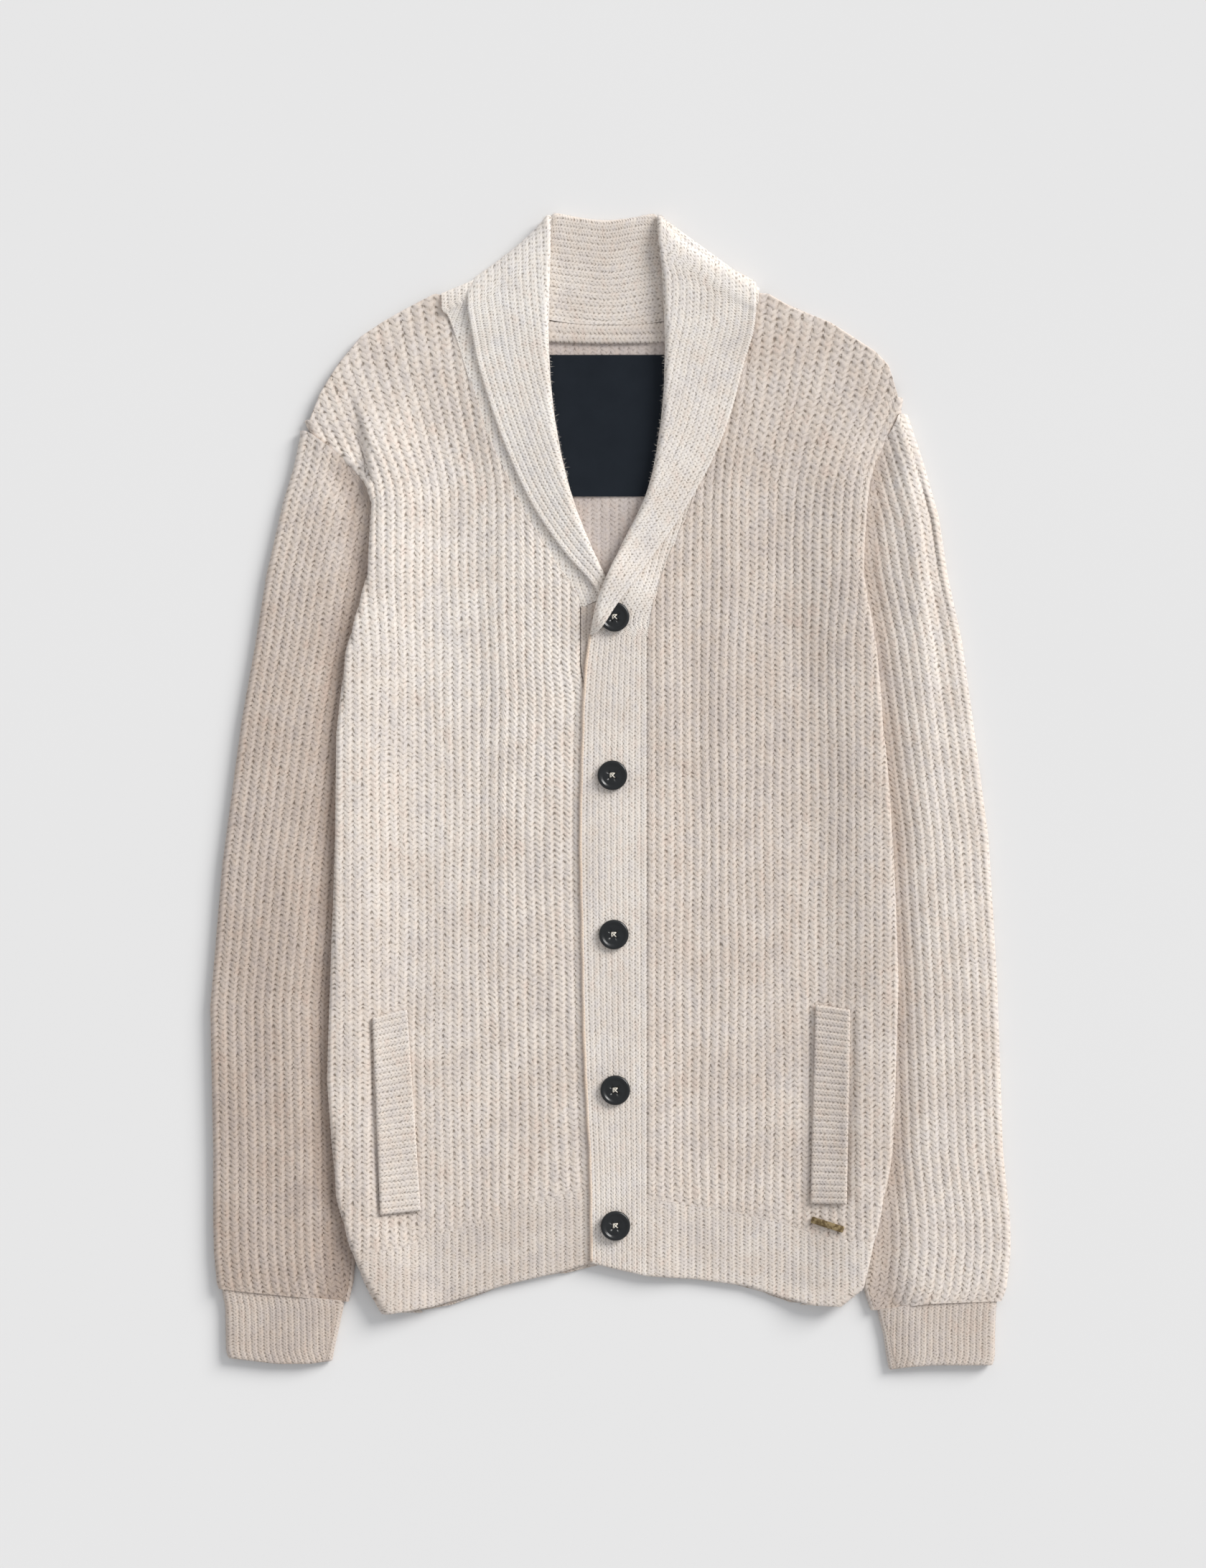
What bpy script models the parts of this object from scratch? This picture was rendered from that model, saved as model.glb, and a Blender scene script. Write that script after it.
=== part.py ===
"""A shawl collar cardigan in ribbed wool, buttoned up and laid flat on its back.

Frame: +X to the viewer's right, +Y towards the collar, +Z up, in metres.
The cardigan lies on z = 0 with its front up. "Left" and "right" are the wearer's, so the
right front is the one on the -X side. Sizes below are in millimetres.

Every piece of cloth is a wall: a middle surface worked out from the pattern's sizes, moved
half the wall's thickness to each side. Ribs are raised on the outer side only.
"""

import math
from collections import namedtuple

import bmesh
import bpy
import numpy as np

MM = 0.001

# ---------------------------------------------------------------- cloth
WALL = 2.2              # knitted cloth without its ribs
HALF = WALL / 2
SEAM = 0.3              # gap that is kept between neighbouring pieces
BODY_PITCH = 6.3        # width of one rib on the fronts and the back
SLEEVE_PITCH = 6.4
HEM_PITCH = 5.6
CUFF_PITCH = 4.25
BAND_PITCH = 4.2
COLLAR_PITCH = 4.8
WELT_PITCH = 4.5
BODY_RIB = 0.9          # height of a rib above the wall
FINE_RIB = 0.5          # height of the ribs of hem, cuffs, bands, collar and welts
SQUEEZE = 0.5           # least spacing of a sleeve's rib lines where they run off round its side
SPREAD_LIMITS = (0.8, 1.2)  # how far a front's rib lines may close up or spread towards the side
SPREAD_POWER = 4        # the higher, the nearer to the side this happens

# ---------------------------------------------------------------- layers, from the floor up
BACK_Z = HALF                           # middle of the back panel
FRONT_Z = BACK_Z + WALL + SEAM          # middle of the fronts, on the back panel
TOP_BAND_Z = FRONT_Z + WALL + SEAM      # middle of the buttonhole band, on the button band
SIDE_LIFT = 6.6         # how far the fronts rise where they roll over the sleeves
SIDE_REACH = 60.0       # the rise starts this far from the side
SIDE_TOP = 4.0          # and ends this far from it
CREST_DROP = 0.75       # share of the rise that is lost towards the shoulder
CREST_DROP_SPAN = (225.0, 275.0)    # heights of the garment between which it is lost
UNDER_WIDTH = 28.0      # cloth that lies under the side, to the side seam
UNDER_REACH = (14.0, 26.0, UNDER_WIDTH)     # the columns of that cloth, from the side
ROLL_ANGLES = (30, 60, 90, 120, 150, 180)   # the columns round a front's side
SLEEVE_Z = 6.3          # middle of a sleeve's upper wall at its crown
TUCK_Z = 4.1            # the same, where the sleeve is tucked under the body
TUCK_EASE = 20.0        # the sleeve comes down to it over this width

# ---------------------------------------------------------------- outlines of the body
# One row for each height: the body's edge on either side, where the ribs start to spread,
# and the middle of the rolled-under cloth.
Side = namedtuple("Side", "y edge spread under tuck")
RIGHT_SIDE = (
    Side(-364.0, 158.0, 1.00, 1.6, 28.0),
    Side(-345.0, 169.0, 1.00, 2.5, 28.0),
    Side(-319.0, 179.5, 1.00, 6.7, 28.0),
    Side(-280.5, 190.0, 1.00, 6.7, 28.0),
    Side(-200.0, 196.0, 1.00, 6.7, 28.0),
    Side(-80.0, 192.0, 1.00, 6.7, 28.0),
    Side(40.0, 189.5, 1.00, 6.7, 28.0),
    Side(95.0, 183.5, 1.00, 6.7, 28.0),
    Side(150.0, 168.5, 1.02, 6.7, 28.0),
    Side(200.0, 165.0, 1.02, 6.7, 26.0),
    Side(212.0, 169.0, 1.03, 6.7, 30.0),
    Side(225.0, 180.0, 1.06, 3.5, 41.0),
    Side(238.0, 196.0, 1.10, 1.8, 57.0),
    Side(248.0, 208.0, 1.13, 1.25, 69.0),
    Side(262.0, 214.0, 1.17, 1.2, 75.0),
    Side(290.0, 216.0, 1.25, 1.2, 77.0),
    Side(346.0, 216.0, 1.35, 1.2, 77.0),
)
LEFT_SIDE = (
    Side(-358.0, 160.0, 1.00, 4.0, 28.0),
    Side(-345.0, 176.0, 1.00, 5.5, 28.0),
    Side(-320.0, 181.5, 1.00, 6.7, 28.0),
    Side(-301.0, 186.0, 1.00, 6.7, 28.0),
    Side(-250.0, 196.0, 1.00, 6.7, 28.0),
    Side(-133.0, 199.5, 1.00, 6.7, 28.0),
    Side(-33.0, 196.0, 1.00, 6.7, 28.0),
    Side(50.0, 189.0, 1.00, 6.7, 28.0),
    Side(104.0, 184.0, 1.00, 6.7, 28.0),
    Side(150.0, 175.5, 1.02, 6.7, 28.0),
    Side(173.0, 176.0, 1.02, 6.7, 28.0),
    Side(200.0, 178.0, 1.03, 6.7, 30.0),
    Side(214.0, 179.5, 1.04, 6.7, 31.5),
    Side(229.5, 184.0, 1.07, 5.5, 36.0),
    Side(246.0, 193.0, 1.11, 3.5, 45.0),
    Side(262.5, 202.0, 1.16, 1.2, 54.0),
    Side(276.0, 203.5, 1.20, 1.2, 55.5),
    Side(346.0, 204.0, 1.35, 1.2, 56.0),
)
RIGHT_CENTRE = 21.0     # the right front's edge at its button band
LEFT_CENTRE = 25.6      # the left front's edge at its buttonhole band
LOWEST, HIGHEST = -380.0, 360.0     # heights between which a piece's ends are looked for
HALVINGS = 24           # steps of that search
SLOPE_SPAN = 8.0        # half the height over which a side's slant is measured

# The top edge of each front, from the band up the collar seam, along the shoulder and down
# to the armhole: distance from the middle of the garment, and height.
Edge = namedtuple("Edge", "x y")
RIGHT_TOP = (
    Edge(21.0, 124.5), Edge(41.5, 160.0), Edge(61.7, 193.0), Edge(83.8, 238.5),
    Edge(102.9, 295.5), Edge(111.2, 324.5), Edge(117.5, 344.0),
    Edge(122.5, 346.0), Edge(141.0, 336.0), Edge(158.5, 326.0), Edge(173.5, 316.0),
    Edge(189.0, 296.0), Edge(202.0, 276.0), Edge(210.0, 256.0), Edge(214.5, 246.0),
)
LEFT_TOP = (
    Edge(25.6, 99.5), Edge(29.6, 112.5), Edge(30.8, 119.8), Edge(33.0, 131.8),
    Edge(41.0, 157.0), Edge(55.4, 191.5), Edge(73.0, 241.0), Edge(91.4, 298.0),
    Edge(98.0, 326.0), Edge(104.0, 346.5), Edge(110.5, 346.0), Edge(127.0, 336.0), Edge(152.5, 326.0),
    Edge(168.5, 316.0), Edge(183.5, 306.0), Edge(193.5, 296.0), Edge(198.5, 280.0),
    Edge(203.0, 262.5),
)
# Where the hem is sewn on, and the hem's lower edge.
RIGHT_HEM_TOP = (
    Edge(15.0, -273.0), Edge(57.5, -285.5), Edge(89.5, -298.5), Edge(121.5, -308.5),
    Edge(143.0, -316.0), Edge(180.0, -321.0), Edge(200.0, -322.0),
)
RIGHT_HEM_END = (
    Edge(14.0, -325.0), Edge(38.5, -334.0), Edge(76.5, -344.0), Edge(95.5, -350.5),
    Edge(124.0, -358.5), Edge(159.5, -364.0), Edge(180.0, -364.0),
)
LEFT_HEM_TOP = (
    Edge(25.0, -282.0), Edge(67.5, -289.5), Edge(94.0, -294.0), Edge(120.5, -300.0),
    Edge(138.0, -305.5), Edge(163.0, -311.5), Edge(200.0, -312.0),
)
LEFT_HEM_END = (
    Edge(25.0, -337.0), Edge(60.5, -339.5), Edge(97.0, -344.5), Edge(119.0, -352.0),
    Edge(141.0, -357.0), Edge(163.0, -358.0), Edge(180.0, -358.0),
)

# ---------------------------------------------------------------- sleeves and cuffs
# One row for each height: outer side of the arm, and inner side, tucked under the body.
Arm = namedtuple("Arm", "y outer inner")
RIGHT_ARM = (
    Arm(-356.0, 270.0, 182.0), Arm(-341.0, 273.0, 178.5), Arm(-320.0, 275.0, 176.5),
    Arm(-300.0, 275.5, 176.0), Arm(-250.0, 275.5, 181.5), Arm(-150.0, 277.5, 182.0),
    Arm(-50.0, 269.0, 178.0), Arm(50.0, 255.5, 176.0), Arm(100.0, 246.5, 171.0),
    Arm(150.0, 238.5, 158.0), Arm(200.0, 227.0, 160.0), Arm(223.0, 220.0, 169.0),
    Arm(246.0, 215.0, 169.0),
)
LEFT_ARM = (
    Arm(-362.0, 269.0, 181.5), Arm(-345.0, 275.0, 176.0), Arm(-320.0, 277.8, 176.0),
    Arm(-300.0, 277.6, 179.0), Arm(-250.0, 272.5, 184.0), Arm(-133.0, 268.5, 187.0),
    Arm(-33.0, 262.5, 184.0), Arm(50.0, 251.5, 177.0), Arm(104.0, 244.0, 172.5),
    Arm(150.0, 234.0, 167.0), Arm(190.0, 228.0, 168.0), Arm(229.0, 217.0, 171.0),
    Arm(262.0, 206.0, 174.0),
)
RIGHT_ARMHOLE = (
    Edge(168.0, 205.0), Edge(171.5, 209.0), Edge(182.5, 221.5), Edge(198.5, 234.5),
    Edge(210.5, 244.0), Edge(216.0, 246.5),
)
LEFT_ARMHOLE = (Edge(183.0, 214.0), Edge(187.0, 226.0), Edge(196.0, 242.5), Edge(206.0, 260.0))
RIGHT_WRIST = (Edge(184.0, -354.5), Edge(271.0, -345.5))
LEFT_WRIST = (Edge(184.0, -360.5), Edge(223.0, -355.5), Edge(270.0, -354.0))

RIGHT_CUFF = (
    Arm(-398.0, 264.0, 193.5), Arm(-389.0, 267.0, 192.0), Arm(-359.0, 267.5, 185.5),
    Arm(-346.0, 270.0, 184.0),
)
LEFT_CUFF = (
    Arm(-402.4, 265.0, 194.0), Arm(-392.0, 267.5, 192.0), Arm(-378.0, 267.5, 190.0),
    Arm(-362.0, 268.0, 186.0), Arm(-354.0, 269.0, 185.0),
)
RIGHT_CUFF_END = (Edge(193.0, -396.0), Edge(208.5, -398.0), Edge(231.5, -398.0), Edge(265.0, -394.0))
LEFT_CUFF_END = (Edge(194.0, -402.4), Edge(210.5, -400.0), Edge(227.0, -399.0), Edge(265.0, -399.0))
CUFF_Z = 5.7            # middle of a cuff's upper wall

TUCKED = 15.0           # width of a sleeve that is hidden under the body's side

# The long fold down the left sleeve: where its ridge runs, and how high it stands.
Fold = namedtuple("Fold", "y x height")
LEFT_ARM_FOLD = (
    Fold(-60.0, 224.0, 0.0), Fold(60.0, 220.0, 1.2), Fold(110.0, 217.0, 2.0),
    Fold(174.0, 213.0, 2.6), Fold(220.0, 207.0, 2.4), Fold(262.0, 203.0, 1.6),
)
FOLD_WIDTH = 9.0
OUTER_TURN = 4.0        # how far a sleeve's upper wall ends from its outer side
INNER_TURN = 0.6        # the same at its inner side, beyond half its thickness
OUTER_ANGLES = (160, 120, 80, 40)   # the columns round a sleeve's outer side
INNER_ANGLES = (36, 72, 108, 144)   # and round its inner side
UNDER_SHARES = (0.15, 0.85)         # and along its underside

# ---------------------------------------------------------------- bands and closure
BAND_LEFT_EDGE = (
    Edge(-9.5, -328.0), Edge(-14.5, -268.0), Edge(-16.5, -213.0), Edge(-20.0, -104.0),
    Edge(-20.5, 5.0), Edge(-16.5, 91.0), Edge(-14.3, 108.0),
)
BAND_FOOT = -328.0      # lower end of the upper band at its left edge
BAND_SLANT = 9.0        # how much lower it ends at its right edge
BAND_HEAD = 107.6       # its upper end, where the collar begins
BAND_RIBS = 11
BAND_RIGHT_SPAN = (-20.6, 24.6)
BAND_RIGHT_HEIGHTS = (-334.0, 126.4, 10.2)  # foot, head at the left, and the head's slant
BAND_LIFT_REACH = 34.0  # the left front comes down from the upper band over this width
BAND_LIFT_SPAN = (120.0, 210.0)     # and lies level above these heights
BUTTON_RADIUS = 10.35
BUTTON_THICK = 3.0
BUTTON_SIDES = 16
BUTTON_RIM = 1.1        # width of the rim's outer round
BUTTON_DISH = 0.62      # thickness of the dished middle, as a share of the button's
BUTTON_HOLES = 4
HOLE_SPOT = 2.1         # distance of a hole from the button's middle
HOLE_RADIUS = 0.85
Button = namedtuple("Button", "x y z tilt")
BUTTONS = (
    Button(3.0, 121.0, 8.7, 0.0), Button(1.5, 11.0, 8.0, 0.0), Button(2.5, -99.5, 8.0, 0.0),
    Button(3.5, -207.5, 8.0, 0.0), Button(3.5, -301.5, 9.0, 5.0),
)

# ---------------------------------------------------------------- collar
# One row for each place along the collar, from its end on the right front to the top of
# that side: the collar seam, the roll line and the outer edge, each as x, y, z of the
# wall's middle, and half the distance between the two layers at the roll.
Rib = namedtuple("Rib", "seam roll edge half")
COLLAR_RIGHT = (
    Rib((-20.2, 127.5, 3.6), (3.0, 138.0, 4.9), (-6.0, 134.0, 6.2), 1.3),
    Rib((-24.5, 138.5, 3.6), (-2.7, 148.5, 5.1), (-12.5, 143.5, 6.5), 1.4),
    Rib((-40.8, 162.3, 3.6), (-14.6, 173.5, 6.2), (-32.0, 166.0, 6.9), 2.3),
    Rib((-60.8, 195.2, 4.0), (-26.5, 205.0, 7.6), (-53.4, 197.2, 7.3), 2.8),
    Rib((-82.6, 240.4, 4.0), (-37.0, 249.5, 7.9), (-74.2, 242.0, 7.3), 2.85),
    Rib((-101.5, 298.0, 4.2), (-42.5, 305.0, 8.7), (-93.0, 300.0, 8.1), 2.5),
    Rib((-109.8, 327.0, 5.6), (-42.7, 332.5, 9.6), (-98.0, 330.0, 9.8), 2.4),
    Rib((-112.5, 337.5, 8.3), (-41.5, 366.0, 11.3), (-98.0, 344.0, 12.4), 1.9),
)
# The same for the left front's side, which crosses over the other.
COLLAR_LEFT = (
    Rib((27.0, 107.4, 6.1), (-14.0, 108.5, 7.5), (-10.0, 109.3, 8.9), 1.4),
    Rib((28.0, 114.0, 6.1), (-12.2, 118.5, 9.6), (-4.4, 115.4, 13.2), 3.2),
    Rib((28.8, 121.0, 6.1), (-9.5, 131.0, 10.5), (3.0, 127.0, 13.4), 2.9),
    Rib((30.8, 134.0, 5.9), (-2.7, 148.5, 12.5), (13.8, 141.5, 13.2), 1.7),
    Rib((38.8, 159.3, 5.0), (9.2, 173.5, 8.4), (30.0, 163.5, 9.4), 2.3),
    Rib((53.4, 193.5, 4.2), (24.4, 205.0, 7.7), (51.4, 194.6, 7.8), 2.8),
    Rib((71.5, 243.0, 4.0), (34.0, 248.0, 7.9), (77.0, 243.0, 7.9), 2.85),
    Rib((90.0, 300.0, 4.2), (38.0, 305.0, 8.7), (94.5, 302.0, 8.4), 2.5),
    Rib((96.5, 328.0, 5.8), (37.5, 332.0, 9.6), (101.0, 330.0, 10.0), 2.4),
    Rib((100.5, 341.0, 8.3), (36.0, 366.0, 11.3), (100.5, 343.5, 12.4), 1.9),
)
# The fold at each side of the neck, where the collar turns to the back: its axis at the
# roll, at the outer edge and at the seam, and its height.
Turn = namedtuple("Turn", "roll edge seam z")
TURN_RIGHT = Turn((-41.4, 397.6), (-95.6, 350.2), (-104.0, 342.9), 7.3)
TURN_LEFT = Turn((33.2, 398.3), (98.0, 351.8), (100.5, 349.0), 7.3)
TURN_STEPS = (0, 60, 120, 180)
TURN_INNER = 3.0        # from the axis to the stand's middle
TURN_OUTER = 6.2        # from the axis to the fall's middle
# Behind the neck the fall lies under the stand, and the seam follows the back's neckline.
BACK_STATIONS = (
    Rib((-64.0, 332.5, 3.7), (-26.0, 398.0, 2.7), (-58.0, 341.5, 1.1), 1.6),
    Rib((-30.0, 325.6, 3.6), (-14.0, 397.2, 2.7), (-27.0, 334.0, 1.1), 1.6),
    Rib((0.0, 324.2, 3.6), (-3.0, 397.0, 2.7), (0.0, 332.5, 1.1), 1.6),
    Rib((30.0, 325.6, 3.6), (9.0, 397.3, 2.7), (27.0, 334.0, 1.1), 1.6),
    Rib((62.0, 333.5, 3.7), (20.0, 398.2, 2.7), (56.0, 342.0, 1.1), 1.6),
)
STAND_COLUMNS = 30
FALL_COLUMNS = 24
ROLL_STEPS = 5
STAND_SHOWN = 41.0       # half the width over which the stand's inside shows

# ---------------------------------------------------------------- back of the neck
NECK_DROP = 20.5        # the back's neckline dips this far below the shoulder points
NECK_HALF = 112.0       # half the neckline's width
NECK_POINT = 103.0      # the fronts' top edges are shoulder beyond this distance
SHOULDER_Y = 345.6
BACK_LEVELS = (-321.0, -300.0, -280.0, -200.0, -80.0, 40.0, 95.0, 136.0, 163.0, 189.5, 193.0,
               208.0, 260.0, 261.5, 281.0, 282.5, 306.0, 330.0, SHOULDER_Y)
RIGHT_STEP_Y = 261.0    # the back reaches out to the shoulder line above these heights
LEFT_STEP_Y = 282.0
BACK_RIB_SPAN = (150.0, 199.0)      # heights between which the back's inside shows its ribs
BACK_RIBS = 4           # ribs shown on either side of the back's middle
ROLL_HEIGHTS = (148.0, 205.0)       # the collar's opening grows between these heights
ROLL_GAPS = (0.0, 24.0)             # from nothing to this far either side of its middle
ROLL_MIDDLE = -1.5
BACK_HEM_HALF = 150.0   # half the back hem's width
BACK_HEM_FOOT = -333.5  # the back's hem ends at least this low at its middle
BACK_HEM_REACH = 40.0   # which is this far to either side
LABEL_SPAN = (-44.0, 38.0, 205.0, 303.5)
LABEL_THICK = 0.6
TAPE_SPAN = (-50.0, 46.0, 312.6, 322.6)
TAPE_THICK = 2.1

# ---------------------------------------------------------------- pockets and trim
# Corners of each welt: outer top, inner top, outer foot, inner foot.
Welt = namedtuple("Welt", "outer_top inner_top outer_foot inner_foot")
WELT_RIGHT = Welt((-165.0, -157.0), (-141.0, -151.0), (-159.5, -294.0), (-131.5, -291.5))
WELT_LEFT = Welt((166.5, -151.5), (142.5, -148.0), (164.0, -286.5), (139.0, -286.5))
WELT_WALL = 1.8
WELT_RIBS = 31
LAID_GAP = SEAM + 0.25  # height of what lies on a front above its ribs, in the middle
BAR_CENTRE = (150.75, -300.75)
BAR_SIZE = (23.5, 4.5, 1.2)
BAR_TURN = -17.0

# ---------------------------------------------------------------- finishes
WOOL = ("oatmeal_wool", (0.70, 0.63, 0.55, 1.0), 0.95, 0.0)
WOVEN = ("black_label", (0.010, 0.012, 0.016, 1.0), 0.80, 0.0)
HORN = ("black_button", (0.012, 0.012, 0.014, 1.0), 0.32, 0.0)
BRASS = ("aged_brass", (0.36, 0.26, 0.12, 1.0), 0.38, 1.0)

FRONT_ROWS = (0.0, 0.09, 0.26, 0.44, 0.60, 0.72, 0.80, 0.86, 0.90, 0.93, 0.965, 1.0)
SLEEVE_ROWS = (0.0, 0.05, 0.14, 0.28, 0.44, 0.60, 0.74, 0.86, 0.95, 1.0)
SHORT_ROWS = (0.0, 0.35, 0.7, 1.0)


# ================================================================ small tools
def clear_scene():
    """Take out whatever the scene holds."""
    for thing in list(bpy.data.objects):
        bpy.data.objects.remove(thing, do_unlink=True)


def finish(slot):
    """The Principled material of a named finish, made once."""
    name, colour, roughness, metallic = slot
    found = bpy.data.materials.get(name)
    if found:
        return found
    made = bpy.data.materials.new(name)
    made.use_nodes = True
    shader = made.node_tree.nodes["Principled BSDF"]
    shader.inputs["Base Color"].default_value = colour
    shader.inputs["Roughness"].default_value = roughness
    shader.inputs["Metallic"].default_value = metallic
    return made


def follow(places, values, at):
    """Read a smooth line through values at rising places; past its ends it stays level."""
    places = np.asarray(places, float)
    values = np.asarray(values, float)
    at = np.clip(np.asarray(at, float), places[0], places[-1])
    slopes = np.gradient(values, places)
    step = np.clip(np.searchsorted(places, at, side="right") - 1, 0, len(places) - 2)
    width = places[step + 1] - places[step]
    t = (at - places[step]) / width
    rise = (values[step + 1] - values[step])
    start = slopes[step] * width
    end = slopes[step + 1] * width
    return values[step] + t * start + t * t * (3 * rise - 2 * start - end) \
        + t * t * t * (start + end - 2 * rise)


def straight(table, at, column="y", place="x"):
    """Read one column of a table along another by straight lines."""
    places = [getattr(row, place) for row in table]
    values = [getattr(row, column) for row in table]
    return np.interp(at, places, values)


def ease(value):
    """0 to 1 with level ends."""
    value = np.clip(value, 0.0, 1.0)
    return value * value * (3 - 2 * value)


def add_object(name, bm, slot, smooth=True):
    """Turn a bmesh, in millimetres, into a named object with its finish."""
    bmesh.ops.recalc_face_normals(bm, faces=bm.faces)
    if bm.calc_volume(signed=True) < 0:
        bmesh.ops.reverse_faces(bm, faces=bm.faces)
    bmesh.ops.scale(bm, vec=(MM, MM, MM), verts=bm.verts)
    mesh = bpy.data.meshes.new(name)
    bm.to_mesh(mesh)
    bm.free()
    if smooth:
        mesh.shade_smooth()
    mesh.materials.append(finish(slot))
    made = bpy.data.objects.new(name, mesh)
    bpy.context.scene.collection.objects.link(made)
    return made


def surface_normals(middle, closed):
    """Unit normals of a grid of points, rows along axis 0 and columns along axis 1."""
    along = np.gradient(middle, axis=0)
    if closed:
        across = (np.roll(middle, -1, axis=1) - np.roll(middle, 1, axis=1)) / 2
    else:
        across = np.gradient(middle, axis=1)
    normals = np.cross(across, along)
    return normals / np.linalg.norm(normals, axis=2, keepdims=True)


def cloth(name, middle, rib, keep, slot, wall=WALL, closed=False, flip=1.0, flat_under=False):
    """Close a wall round a middle surface.

    middle: grid of points; rib: height of the ribs at each point, raised on the outer side;
    keep: the columns that the plain inner side has; closed: the columns run round a tube;
    flat_under: the wall stays above the floor, and its first and last rows end square.
    """
    normals = surface_normals(middle, closed) * flip
    if flat_under:
        normals[[0, -1], :, 1] = 0.0
        normals /= np.linalg.norm(normals, axis=2, keepdims=True)
    outer = middle + normals * (wall / 2 + rib)[:, :, None]
    inner = (middle - normals * (wall / 2))[:, keep]
    if flat_under:
        outer[:, :, 2] = np.maximum(outer[:, :, 2], 0.0)
        inner[:, :, 2] = np.maximum(inner[:, :, 2], 0.0)
    rows, columns = middle.shape[:2]
    bm = bmesh.new()
    skin = [[bm.verts.new(p) for p in row] for row in outer.tolist()]
    lining = [[bm.verts.new(p) for p in row] for row in inner.tolist()]
    spans = columns if closed else columns - 1
    for i in range(rows - 1):
        for j in range(spans):
            k = (j + 1) % columns
            bm.faces.new((skin[i][j], skin[i][k], skin[i + 1][k], skin[i + 1][j]))
    inner_spans = len(keep) if closed else len(keep) - 1
    for i in range(rows - 1):
        for q in range(inner_spans):
            r = (q + 1) % len(keep)
            bm.faces.new((lining[i][q], lining[i + 1][q], lining[i + 1][r], lining[i][r]))
    for i in (0, rows - 1):
        for q in range(inner_spans):
            r = (q + 1) % len(keep)
            stop = keep[r] if r > 0 else keep[0] + columns
            halfway = (keep[q] + stop) // 2
            for j in range(keep[q], stop):
                near = lining[i][q] if j < halfway else lining[i][r]
                bm.faces.new((skin[i][j % columns], skin[i][(j + 1) % columns], near))
            bm.faces.new((skin[i][halfway % columns], lining[i][r], lining[i][q]))
    if not closed:
        for j, q in ((0, 0), (columns - 1, len(keep) - 1)):
            for i in range(rows - 1):
                bm.faces.new((skin[i][j], skin[i + 1][j], lining[i + 1][q], lining[i][q]))
    return add_object(name, bm, slot)


def rib_wave(columns):
    """1 on every second column and 0 between: the crest and the foot of each rib."""
    return (np.arange(columns) % 2).astype(float)


# ================================================================ fronts and hems
def side_value(side, column, y):
    """Read a column of a side's table at heights y."""
    return np.interp(y, [row.y for row in side], [getattr(row, column) for row in side])


def side_crest(y):
    """Height of the middle of the wall along the side, at heights y of the garment."""
    low, high = CREST_DROP_SPAN
    return FRONT_Z + SIDE_LIFT * (1 - CREST_DROP * ease((y - low) / (high - low)))


def front_height(side, centre, x, y):
    """Middle of a front's wall at distance x from the garment's middle and height y."""
    near = side_value(side, "edge", y) - x
    lift = side_crest(y) - FRONT_Z
    share = np.clip((near - SIDE_TOP) / (SIDE_REACH - SIDE_TOP), 0, 1)
    rise = lift * 0.5 * (1 + np.cos(math.pi * share))
    if centre == LEFT_CENTRE:
        low, high = BAND_LIFT_SPAN
        band = (TOP_BAND_Z - FRONT_Z) * (1 - ease((y - low) / (high - low)))
        rise = rise + band * (1 - ease((x - centre) / BAND_LIFT_REACH))
    return FRONT_Z + rise


def rib_places(side, centre, width, flat, y):
    """Distance of a piece's rib lines from the garment's middle at heights y.

    The lines keep their own width near the band and share what is left towards the side.
    """
    above = side_value(side, "edge", y + SLOPE_SPAN)
    below = side_value(side, "edge", y - SLOPE_SPAN)
    slope = (above - below) / (2 * SLOPE_SPAN)
    slant = np.sqrt(1 + slope ** 2)
    turn = (side_crest(y) - side_value(side, "under", y)) / 2
    start = side_value(side, "edge", y) - (HALF + turn) * slant
    room = start - centre
    share = np.minimum(np.arange(len(y)) / (flat - 1), 1.0)
    free = np.clip(width * side_value(side, "spread", y) / room, *SPREAD_LIMITS)
    spots = free * share + (1 - free) * share ** SPREAD_POWER
    return centre + room * spots, turn * slant


def body_piece(name, sign, side, centre, pitch, rib_height, ribs, bottom, top, rows):
    """A front or its hem: flat on the back, rolled over at the side, seamed underneath."""
    flat = 2 * ribs + 1
    angles = np.radians(ROLL_ANGLES)
    reach = np.array(UNDER_REACH)
    count = flat + len(angles) + len(reach)
    width = ribs * pitch
    ends = []
    for table in (bottom, top):
        lowest, highest = np.full(count, LOWEST), np.full(count, HIGHEST)
        for _ in range(HALVINGS):
            guess = (lowest + highest) / 2
            x, turn = rib_places(side, centre, width, flat, guess)
            below = straight(table, x) > guess
            lowest = np.where(below, guess, lowest)
            highest = np.where(below, highest, guess)
        guess[flat:] = guess[flat - 1]
        ends.append(guess)
    low, high = ends
    middle = np.zeros((len(rows), count, 3))
    for i, v in enumerate(rows):
        y = low + v * (high - low)
        edge = side_value(side, "edge", y)
        under = side_value(side, "under", y)
        x, turn = rib_places(side, centre, width, flat, y)
        z = front_height(side, centre, x, y)
        crest = z[flat - 1]
        bend = slice(flat, flat + len(angles))
        x[bend] += turn[bend] * np.sin(angles)
        z[bend] = (crest + under[bend]) / 2 + (crest - under[bend]) / 2 * np.cos(angles)
        tail = slice(bend.stop, count)
        tuck = side_value(side, "tuck", y)[tail]
        x[tail] = edge[tail] - reach * tuck / UNDER_WIDTH
        z[tail] = np.where(reach < 0.6 * UNDER_WIDTH, under[tail], BACK_Z)
        middle[i] = np.stack((sign * x, y, z), axis=1)
    rib = np.zeros((len(rows), count))
    rib[:, :flat] = rib_height * rib_wave(flat)
    keep = list(range(0, flat - 9, 6)) + list(range(flat - 5, flat, 2)) \
        + [flat + 1, flat + 3, *range(flat + 5, count)]
    return cloth(name, middle, rib, keep, WOOL, flip=sign, flat_under=True)


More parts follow.
